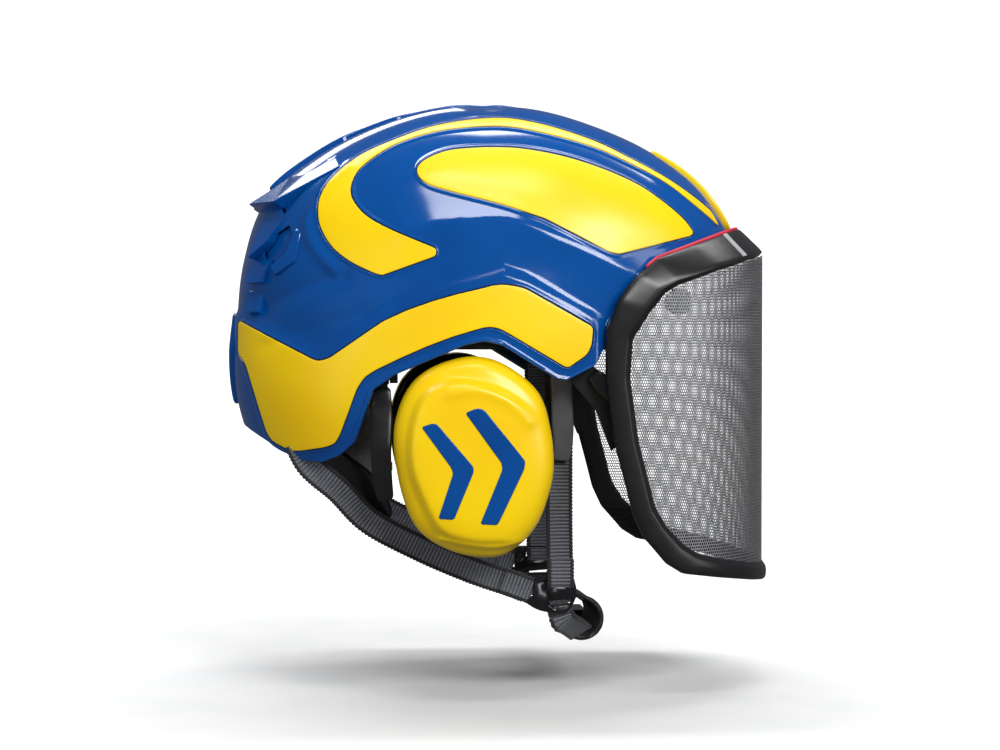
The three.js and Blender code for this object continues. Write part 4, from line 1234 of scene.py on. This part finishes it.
def stuffed(obj, pinned, voxel=4.0, pressure=4.0, most=1.6):
    mesh = obj.modifiers.new("remesh", "REMESH")
    mesh.mode, mesh.voxel_size, mesh.use_smooth_shade = "VOXEL", voxel * MM, True
    apply_all(obj)
    start = np.array([v.co for v in obj.data.vertices]) / MM
    group = obj.vertex_groups.new(name="weld")
    group.add([int(i) for i in np.nonzero(pinned(start))[0]], 1.0, "REPLACE")
    cloth = obj.modifiers.new("cloth", "CLOTH")
    cloth.settings.vertex_group_mass = "weld"
    cloth.settings.use_pressure = True
    cloth.settings.uniform_pressure_force = pressure
    cloth.settings.quality = 6
    cloth.settings.effector_weights.gravity = 0
    for number in range(1, CLOTH_FRAMES + 1):
        bpy.context.scene.frame_set(number)
    shape = obj.evaluated_get(bpy.context.evaluated_depsgraph_get()).data
    moved = np.array([v.co for v in shape.vertices]) / MM - start
    length = np.linalg.norm(moved, axis=1)
    moved *= np.minimum(1, most / np.maximum(length, 1e-9))[:, None]
    obj.modifiers.clear()
    obj.data.vertices.foreach_set("co", ((start + moved) * MM).ravel())
    bpy.context.scene.frame_set(1)
    print(obj.name, "swelled by up to", round(float(min(length.max(), most)), 2), "mm")
    smooth = obj.modifiers.new("smooth", "SUBSURF")
    smooth.levels = smooth.render_levels = 1
    apply_all(obj)
    obj.data.polygons.foreach_set("use_smooth", [True] * len(obj.data.polygons))
    return obj


# each ring: its share of the cup's outline, and its distance from the middle plane
CUSHION = [
    (0.92, 87.2), (0.955, 83), (0.95, 79), (0.9, 76), (0.78, 75.4), (0.65, 77), (0.585, 81), (0.585, 87.2),
]
sections = [cup_points(share, y)[::6] for share, y in catmull(CUSHION, 4, closed=True)]
cushion = lofted("ear_cushion_soft_right", sections, VINYL, joined=True, sharp=180)
stuffed(cushion, lambda p: p[:, 1] < -86.0)
for piece in place_pair(cushion, "ear_cushion_soft", "cup", "cushion", "ear_cushion"):
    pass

# %% [markdown]
# The weld of the cushion is covered by a hard black ring, which clips into the dish. It is what shows as a
# dark line round the back of the cup.

# %% Clip ring round each cup
CLIP = [(0.955, 90.0), (0.985, 89.4), (0.99, 88.2), (0.975, 87.4), (0.9, 87.2), (0.9, 89.6)]
clip_rings = [cup_points(scale, y) for scale, y in CLIP]
clip = lofted("clip_ring_right", clip_rings, GLOSSY_NYLON, joined=True, sharp=40)
place_pair(clip, "clip_ring", "cup", "black_plastic")

# %% [markdown]
# ## Headband and nape
# The headband, the nape yoke and their pads are bent round one oval, the outline of a head. A drawing for
# them is flat: how far round from the back of the head, in degrees, and how high.

# %% The oval of the head
HEAD_X, HEAD_HALF = -8, np.array([94.0, 78.0])
FULL = 1.5  # about how many millimetres along the oval there are for each degree


def round_head(offset):
    def lift(flat, height):
        angle = np.radians(flat[:, 0] / FULL)
        way = np.stack([-np.cos(angle), -np.sin(angle)], 1)
        n = way / HEAD_HALF
        n /= np.linalg.norm(n, axis=1)[:, None]
        on = way * HEAD_HALF + n * np.reshape(height + offset, (-1, 1))
        return np.stack([HEAD_X + on[:, 0], on[:, 1], flat[:, 1]], 1)

    return lift


def turn_of(x, half=94.0):
    """How far round from the back of the head a place x is, in drawing units."""
    return math.degrees(math.acos(max(-1, min(1, (HEAD_X - x) / half)))) * FULL


def both_sides(half):
    return [*half, *[(-u, z) for u, z in reversed(half)]]


def round_the_front(x, low, high):
    """A strip round the front of the head, from x on one side to x on the other."""
    start, end = turn_of(x), 360 * FULL - turn_of(x)
    return [(start, low), (end, low), (end, high), (start, high)]


YOKE = [
    (-48, 31), (-48, 9), (-74, 0), (-88, -16), (-90, -44), (-82, -53), (-68, -62), (-58, -76), (-54, -88),
    (-62, -91), (-82, -71), (-100, -60),
]
yoke = filleted(both_sides([(8, 31), *[(turn_of(x, 100), z) for x, z in YOKE], (5, -57)]), 5)
yoke_piece = panel("nape_yoke_wing", yoke, round_head(6.0), 1.2, GLOSSY_NYLON, edge=0.9, sink=1.1, cell=3)
place(yoke_piece, "nape", "black_plastic", "nape_yoke")
NAPE = [(-84, -6), (-68, -20), (-60, -46), (-54, -70), (-60, -79), (-96, -55)]
nape = filleted(both_sides([(8, -6), *[(turn_of(x), z) for x, z in NAPE], (6, -49)]), 6)
nape_piece = panel("nape_felt", nape, round_head(2.3), 1.9, FELT, edge=1.4, sink=1.7, cell=3)
stuffed(nape_piece, nothing, voxel=2.4, pressure=2.0, most=0.9)
place(nape_piece, "nape", "felt", "nape_pad")

band = filleted(round_the_front(-66, 6, 34), 6)
band_piece = panel("headband_strap", band, round_head(-0.2), 0.9, BLACK_NYLON, edge=0.7, sink=0.9, cell=5)
place(band_piece, "shell", "black_plastic", "headband")
front = filleted(round_the_front(36, 5, 35), 7)
forehead = panel("forehead_felt", front, round_head(-2.4), 1.9, FELT, edge=1.5, sink=1.9, cell=3)
stuffed(forehead, nothing, voxel=2.6, pressure=2.0, most=0.8)
place(forehead, "shell", "felt", "forehead_pad")

# %% [markdown]
# The ratchet knob at the nape is turned with a thumb in gloves, so its rim has sixteen lobes and its face a
# hollow. It is one moulding with a slight dome.

# %% Ratchet knob
LOBES, LOBE_HEIGHT, KNOB_Z = 16, 0.6, -30
# each ring: x, radius, and how much of the lobes shows
KNOB = [
    (-120.9, 11, 0), (-120.9, 14.2, 0.2), (-121.6, 15.0, 1), (-127.2, 15.0, 1), (-128.4, 14.4, 0.7),
    (-129.0, 13.2, 0.2), (-129.0, 11.4, 0), (-128.2, 10.4, 0), (-127.8, 8, 0), (-128.0, 1, 0),
]
angles = np.linspace(0, 2 * math.pi, 20 * LOBES, endpoint=False)
lobes = LOBE_HEIGHT * np.tanh(2.2 * np.cos(LOBES * angles))
knob_rings = []
for x, base, share in KNOB:
    radius = base + lobes * share
    ring = [np.full(len(angles), x), radius * np.cos(angles), KNOB_Z + radius * np.sin(angles)]
    knob_rings.append(np.stack(ring, 1))
knob = lofted("ratchet_knob_lobed", knob_rings, BLACK_NYLON, sharp=35)
place(knob, "knob", "black_plastic", "ratchet_knob")

# %% [markdown]
# ## Webbing
# The chin straps are woven 15 mm wide with a rib across every 2 mm and a thicker black edge. Each
# strap is swept along its path: the ribs are a wave in its thickness, the edge a bead with small scallops.


# %% Sweeps along a path
def path_frames(points, across, step):
    line = spaced(catmull(points, 24), step)
    run = np.linspace(0, 1, len(line))
    given = np.array(across, float)
    wide = np.stack([np.interp(run, np.linspace(0, 1, len(given)), given[:, k]) for k in range(3)], 1)
    along = np.gradient(line, axis=0)
    along /= np.linalg.norm(along, axis=1)[:, None]
    wide -= along * np.sum(wide * along, 1)[:, None]
    wide /= np.linalg.norm(wide, axis=1)[:, None]
    return line, wide, np.cross(along, wide)


RIB_PITCH, RIB_HEIGHT = 2.0, 0.26


def webbing(name, points, across, width=15.0, wall=1.6, step=0.33):
    line, wide, out = path_frames(points, across, step)
    half = width / 2
    edge = np.array([0.68, 0.73, 0.79, 0.86, 0.93, 0.985, 1])
    a = np.array([*-edge[::-1], 0, *edge]) * half
    is_edge = np.abs(a) > 0.7 * half
    high = np.where(is_edge, 0.5 * wall, 0.36 * wall)
    high[[0, -1]], high[[1, -2]] = 0.1 * wall, 0.36 * wall
    phase = np.arange(len(line)) * step * 2 * math.pi / RIB_PITCH
    rib = RIB_HEIGHT * np.cos(phase)[:, None] * np.where(is_edge, 0, 1)
    scallop = 1 + 0.035 * np.cos(phase + 1)[:, None] * is_edge
    middle = line[:, None] + wide[:, None] * (a * scallop)[..., None]
    face = lambda sign: middle + sign * out[:, None] * (high + rib * sign)[..., None]
    rings = np.concatenate([face(1), face(-1)[:, ::-1]], 1)
    obj = lofted(name, rings, WEBBING, sharp=70)
    across_edge = np.concatenate([is_edge, is_edge[::-1]]).astype(float)
    # black at the edge is the webbing's own colour; black in the valleys between ribs is painted shade
    edge_and_valley_shade = np.maximum(across_edge[None], (0.5 - 0.5 * np.cos(phase))[:, None] ** 2 * 0.9).ravel()
    obj.data.attributes.new("selvedge_and_valley_shade", "FLOAT", "POINT").data.foreach_set("value", edge_and_valley_shade)
    return obj


def bar(name, points, across, width, wall, material, step=1.0, corner=0.8):
    """A moulded band with rounded edges along a path; width and wall may change along it."""
    line, wide, out = path_frames(points, across, step)
    grow = lambda v: np.interp(np.linspace(0, 1, len(line)), np.linspace(0, 1, np.size(v)), np.atleast_1d(v))
    w, t = grow(width)[:, None] / 2, grow(wall)[:, None] / 2
    turns = np.linspace(0, 2 * math.pi, 28, endpoint=False)
    c, s = np.cos(turns), np.sin(turns)
    x = (w - corner) * np.tanh(3 * c) + corner * c
    y = (t - np.minimum(corner, t)) * np.tanh(3 * s) + np.minimum(corner, t) * s
    ends = np.ones(len(line))
    ends[[0, -1]], ends[[1, -2]] = 0.8, 0.95
    x, y = x * ends[:, None], y * ends[:, None]
    rings = line[:, None] + wide[:, None] * x[..., None] + out[:, None] * y[..., None]
    return lofted(name, rings, material, sharp=50)


def pair(maker, name, slot, points, body="shell", nodes=(), **options):
    """Makes a piece for the wearer's right, mirrors it to the left, and puts both in place."""
    place_pair(maker(f"{name}_right", points, **options), name, body, slot, *nodes)


# each strap: its path, the direction across it, and the measured node it shows
STRAPS = {
    "front_webbing": (
        [
            (39, -76.5, 24), (39, -76.5, 0), (39.5, -76, -30), (39.5, -75, -60), (39.7, -73, -90),
            (40.3, -70.6, -116), (40.4, -68.6, -124), (40.4, -66.8, -129),
        ],
        [(1, 0, 0)],
        "front_strap",
    ),
    "rear_webbing": (
        [
            (-108, -69, -46), (-102, -72, -57), (-95, -75, -64), (-84, -76.5, -73), (-67, -77.5, -90),
            (-39, -74.5, -105.5), (-11, -72, -118), (13, -70.3, -126.6), (21, -67.6, -130),
        ],
        [
            (0.78, 0, 0.62), (0.72, 0, 0.7), (0.65, 0, 0.76), (0.6, 0, 0.8), (0.6, 0, 0.8),
            (0.42, 0, 0.9), (0.38, 0, 0.92), (0.35, 0, 0.94),
        ],
        "rear_strap",
    ),
    "chin_webbing": (
        [(41, -69.4, -144), (43, -69, -148.5), (48, -64, -151.8), (54, -55, -157)],
        [(0.94, 0.1, 0.33)],
        "chin_strap",
    ),
}
for name, (path, across, node) in STRAPS.items():
    pair(webbing, name, "webbing", path, nodes=[node], across=across)

SLEEVE = [(39.8, -79.8, 17), (39.9, -79.8, -8), (40.6, -79.7, -30), (41.2, -79.4, -46), (40.2, -78.9, -56)]
pair(
    bar, "sleeve", "grey_plastic", SLEEVE, nodes=["strap_sleeve"], across=[(1, 0, 0)],
    width=[11.5, 11.8, 12.4, 12.6, 9.5], wall=[3.0, 3.2, 3.2, 2.8, 1.8], material=GREY_NYLON, corner=1.5,
)

# %% [markdown]
# Where the two straps meet, each end is threaded through the slider and doubled back on itself. The folds
# are short lengths of the same webbing, bent tightly round the slider's bars.

# %% Folded ends and slider
FOLDS = {
    "front_fold": (
        [
            (40.4, -74.6, -112), (40.4, -74.9, -120), (40.4, -74.2, -126.6), (40.4, -70.2, -129),
            (40.4, -66.4, -126.4), (40.4, -66.2, -121),
        ],
        [(1, 0, 0)],
    ),
    "rear_fold": (
        [
            (8, -74.4, -124), (16, -74.8, -127), (22.6, -73.4, -129.6), (24.2, -69.8, -130.4),
            (21.6, -66.4, -129.4), (15, -66, -127),
        ],
        [(0.35, 0, 0.94)],
    ),
}
for name, (path, across) in FOLDS.items():
    pair(webbing, name, "webbing", path, across=across, step=0.25)
SLIDER = [(18, -120.5), (47.5, -120), (50.5, -133), (44, -144.5), (27, -141.5), (16.5, -134)]
SLOTS = [
    [(32, -127.5), (46, -127.5), (46, -124), (32, -124)],
    [(21.4, -134), (25, -134), (25, -123.5), (21.4, -123.5)],
    [(35, -139.5), (46.5, -138), (46.5, -135), (34, -136)],
]


def slider(name, outline):
    body = filleted(outline, 5)
    middle = body.mean(0)
    rings = []
    for share, y in [(0.96, -66.6), (1, -67.4), (1, -72.2), (0.985, -73.0), (0.94, -73.6), (0.6, -74.0)]:
        flat = middle + (body - middle) * share
        rings.append(np.stack([flat[:, 0], np.full(len(flat), y), flat[:, 1]], 1))
    made_body = lofted(name, rings, GLOSSY_NYLON, sharp=35)
    for number, slot_outline in enumerate(SLOTS):
        cut(made_body, prism(f"slot_{number}", slot_outline, -80, -60, GLOSSY_NYLON))
    return made_body


pair(slider, "slider", "black_plastic", SLIDER, nodes=["strap_slider"])

# %% [markdown]
# The chin pad is soft vinyl over foam, folded up at both edges so that it cups the chin. It is stuffed like
# the ear cushions, but stiffer. The buckle on the left keeps its measured solids and only gets soft edges.

# %% Chin pad
CHIN_PATH = [(62, -56, -158.5), (63, -34, -161), (63, -10, -163), (62.5, 8, -163.5), (61, 22, -163)]
FOLD_CENTRE = 12.5  # millimetres from the path to the middle of the fold
line, wide, out = path_frames(CHIN_PATH, [(0.8, 0, 0.6)], 3.0)
out *= -np.sign(out[:, 2:3])
bend = np.radians(np.linspace(-140, 140, 31))
pad_rings = []
for p, w, n in zip(line, wide, out):
    arc = lambda r: [p + w * r * math.sin(a) + n * (r * math.cos(a) - FOLD_CENTRE) for a in bend]
    pad_rings.append([*arc(13.0), *arc(9.6)[::-1]])
chin = lofted("chin_pad_soft", pad_rings, VINYL, sharp=180)
stuffed(chin, nothing, voxel=2.0, pressure=1.5, most=0.6)
place(chin, "shell", "black_plastic", "chin_pad")

# %% [markdown]
# The cradle over the crown is the same webbing, 22 mm wide, in two crossing straps that hold the head clear
# of the shell.

# %% Crown cradle
LENGTHWAYS = [(82, 0, 36), (60, 0, 84), (-8, 0, 114), (-70, 0, 84), (-98, 0, 36)]
SIDEWAYS = [(-8, -74, 36), (-8, -58, 84), (-8, 0, 112.6), (-8, 58, 84), (-8, 74, 36)]
along = webbing("cradle_lengthways", LENGTHWAYS, [(0, 1, 0)], width=22, step=0.5)
over = webbing("cradle_sideways", SIDEWAYS, [(1, 0, 0)], width=22, step=0.5)
place(along, "shell", "webbing", "crown_cradle")
place(over, "shell", "webbing")

# %% [markdown]
# ## The carrying arms
# Each ear cup hangs on a flat spring arm. A smooth black cover is clipped over the outside of the arm's
# measured solid and hides the slot and the pin; the hinge still shows above it.

# %% Arm covers
ARM_PATH = [
    (-61.2, -89.4, -15), (-60.9, -91.6, -21), (-60.6, -96.4, -32), (-60.9, -101.0, -47),
    (-60.4, -101.8, -62), (-58.4, -101.2, -76),
]
pair(
    bar, "arm_cover", "black_plastic", ARM_PATH, body="arm", across=[(1, 0, 0)], material=GLOSSY_NYLON,
    width=[11.5, 12.2, 12.2, 11.2, 11.0, 9], wall=[2, 2.4, 2.4, 2.4, 2.2, 1.8], corner=1.0,
)

# %% [markdown]
# The visor's arms are flat blades, but where each one leaves the shell it swells into a polished elbow that
# a gloved thumb pushes against when the visor is raised.

# %% Elbows of the visor arms
ELBOW_PATH = [(56, -94.2, -7), (61, -95.4, -12), (67, -97.2, -17), (73, -98.4, -22)]
ELBOW_WIDTH, ELBOW_WALL = [7, 11, 12, 9], [2.5, 3.6, 3.6, 3]
for side, sign in SIDES.items():
    run = [(x, y * -sign, z) for x, y, z in ELBOW_PATH]
    shape = dict(width=ELBOW_WIDTH, wall=ELBOW_WALL, material=GLOSSY_NYLON, corner=1.6)
    place(bar(f"visor_elbow_{side}", run, [(0.6, 0, 0.8)], **shape), "visor", "black_plastic")

# %% [markdown]
# ## Measured pieces that keep their shape
# Pins, blocks and buckle parts are right as they are. They get a small bevel, as every moulded edge has,
# and the material of their process.

# %% Bevels and materials on the frame's own nodes
KEPT = {
    BLACK_NYLON: [
        "visor_arm_*", "arm_block_*", "cup_arm_*", "cup_backplate_*", "ratchet_housing", "buckle_socket",
        "buckle_plug",
    ],
    PIN_STEEL: ["visor_pivot_pin_*", "cup_pin_*"],
    BEAD_FOAM: ["cup_foam_*"],
    GREY_NYLON: ["buckle_button"],
}
BEVEL_WIDTH, BEVEL_ANGLE = 0.45, math.radians(32)
for material, patterns in KEPT.items():
    for pattern in patterns:
        for side in SIDES if pattern.endswith("*") else [""]:
            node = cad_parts[pattern.replace("*", side)]
            node.data.materials.clear()
            node.data.materials.append(material)
            bevel = node.modifiers.new("edges", "BEVEL")
            bevel.width, bevel.segments, bevel.limit_method = BEVEL_WIDTH * MM, 3, "ANGLE"
            bevel.angle_limit, bevel.harden_normals = BEVEL_ANGLE, True
            node.data.polygons.foreach_set("use_smooth", [True] * len(node.data.polygons))
            node.data.set_sharp_from_angle(angle=BEVEL_ANGLE)
print(sum(not o.hide_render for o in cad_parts.values()), "measured nodes stay in view")

# %% [markdown]
# ## The studio
# The helmet hangs over a pale floor in soft white light, as in a catalogue. Lamps above and beside it draw
# the highlights on the gloss, and the far wall is lit on its own so that it stays white. The paper is kept
# out of reflections and bounce light, because its glare would wash out the blue.


# %% Floor and backdrop
def pale_paper():
    material, tree, shader = new_material("pale_studio_paper", Roughness=0.9)
    shade = grain(tree, 40, 3)
    tinted(tree, shader, shade.outputs["Fac"], "#F2F3F4", "#F8F8F8")
    return material


FLOOR_Z, CURVE_Y, CURVE, HALF_WIDTH = -0.19, 1.0, 0.5, 2.5  # in metres
turns = np.linspace(0.1, math.pi / 2, 12)
curve = [(CURVE_Y + CURVE * math.sin(a), FLOOR_Z + CURVE - CURVE * math.cos(a)) for a in turns]
sweep_line = [(-0.32, FLOOR_Z), (CURVE_Y, FLOOR_Z), *curve, (CURVE_Y + CURVE, 2.2)]
points = [(x / MM, y / MM, z / MM) for y, z in sweep_line for x in (-HALF_WIDTH, HALF_WIDTH)]
faces = [[2 * i, 2 * i + 1, 2 * i + 3, 2 * i + 2] for i in range(len(sweep_line) - 1)]
paper = new_object("studio_sweep", points, faces, pale_paper())
paper.visible_glossy = paper.visible_diffuse = False

# %% [markdown]
# A softbox is an area lamp: the larger it is, the softer its highlight. Places and sizes are in metres and
# powers in watts. The fill lamp only opens up the shadows, so it gives no highlight of its own.


# %% Lamps and world
def softbox(name, location, target, size, power):
    data = bpy.data.lights.new(name, "AREA")
    data.shape, data.size, data.size_y, data.energy = "RECTANGLE", *size, power
    lamp = bpy.data.objects.new(name, data)
    bpy.context.scene.collection.objects.link(lamp)
    lamp.location = location
    lamp.rotation_euler = (Vector(target) - Vector(location)).to_track_quat("-Z", "Y").to_euler()
    return lamp


softbox("overhead", (0.0, -0.57, 1.05), (0, 0, 0.05), (0.45, 0.16), 2.6)
softbox("near_side", (0.85, -1.5, 0.95), (0, 0, -0.02), (1.0, 0.6), 25)
softbox("front_side", (1.3, -0.9, 0.35), (0, 0, -0.05), (0.4, 1.0), 4)
softbox("rim", (-0.35, 1.0, 0.72), (-0.1, 0, 0.08), (0.8, 0.25), 3)
fill = softbox("fill", (-1.0, -1.3, 0.1), (0, 0, -0.04), (1.2, 0.9), 9)
fill.visible_glossy = False
softbox("backdrop", (0, 0.55, 1.7), (0, 1.5, 0.55), (2.6, 0.5), 52)
world = bpy.data.worlds.new("studio_air")
bpy.context.scene.world = world
world.use_nodes = True
world.node_tree.nodes["Background"].inputs["Color"].default_value = linear("#F4F7FB")
world.node_tree.nodes["Background"].inputs["Strength"].default_value = 0.14

# %% [markdown]
# A long lens from 1.2 m sees the helmet from its right side, slightly from behind and from just above the
# middle of the visor.

# %% Camera
lens = bpy.data.cameras.new("catalogue_camera")
camera = bpy.data.objects.new("catalogue_camera", lens)
bpy.context.scene.collection.objects.link(camera)
lens.lens, lens.sensor_width = 72.1, 36
aim, distance_back = Vector((0.011, 0, -0.010)), 1.2
yaw, rise = math.radians(-3.8), math.radians(1.3)
away = Vector((math.sin(yaw) * math.cos(rise), -math.cos(yaw) * math.cos(rise), math.sin(rise)))
camera.location = aim + distance_back * away
camera.rotation_euler = (-away).to_track_quat("-Z", "Y").to_euler()
bpy.context.scene.camera = camera
bpy.context.scene.view_settings.view_transform = "Standard"
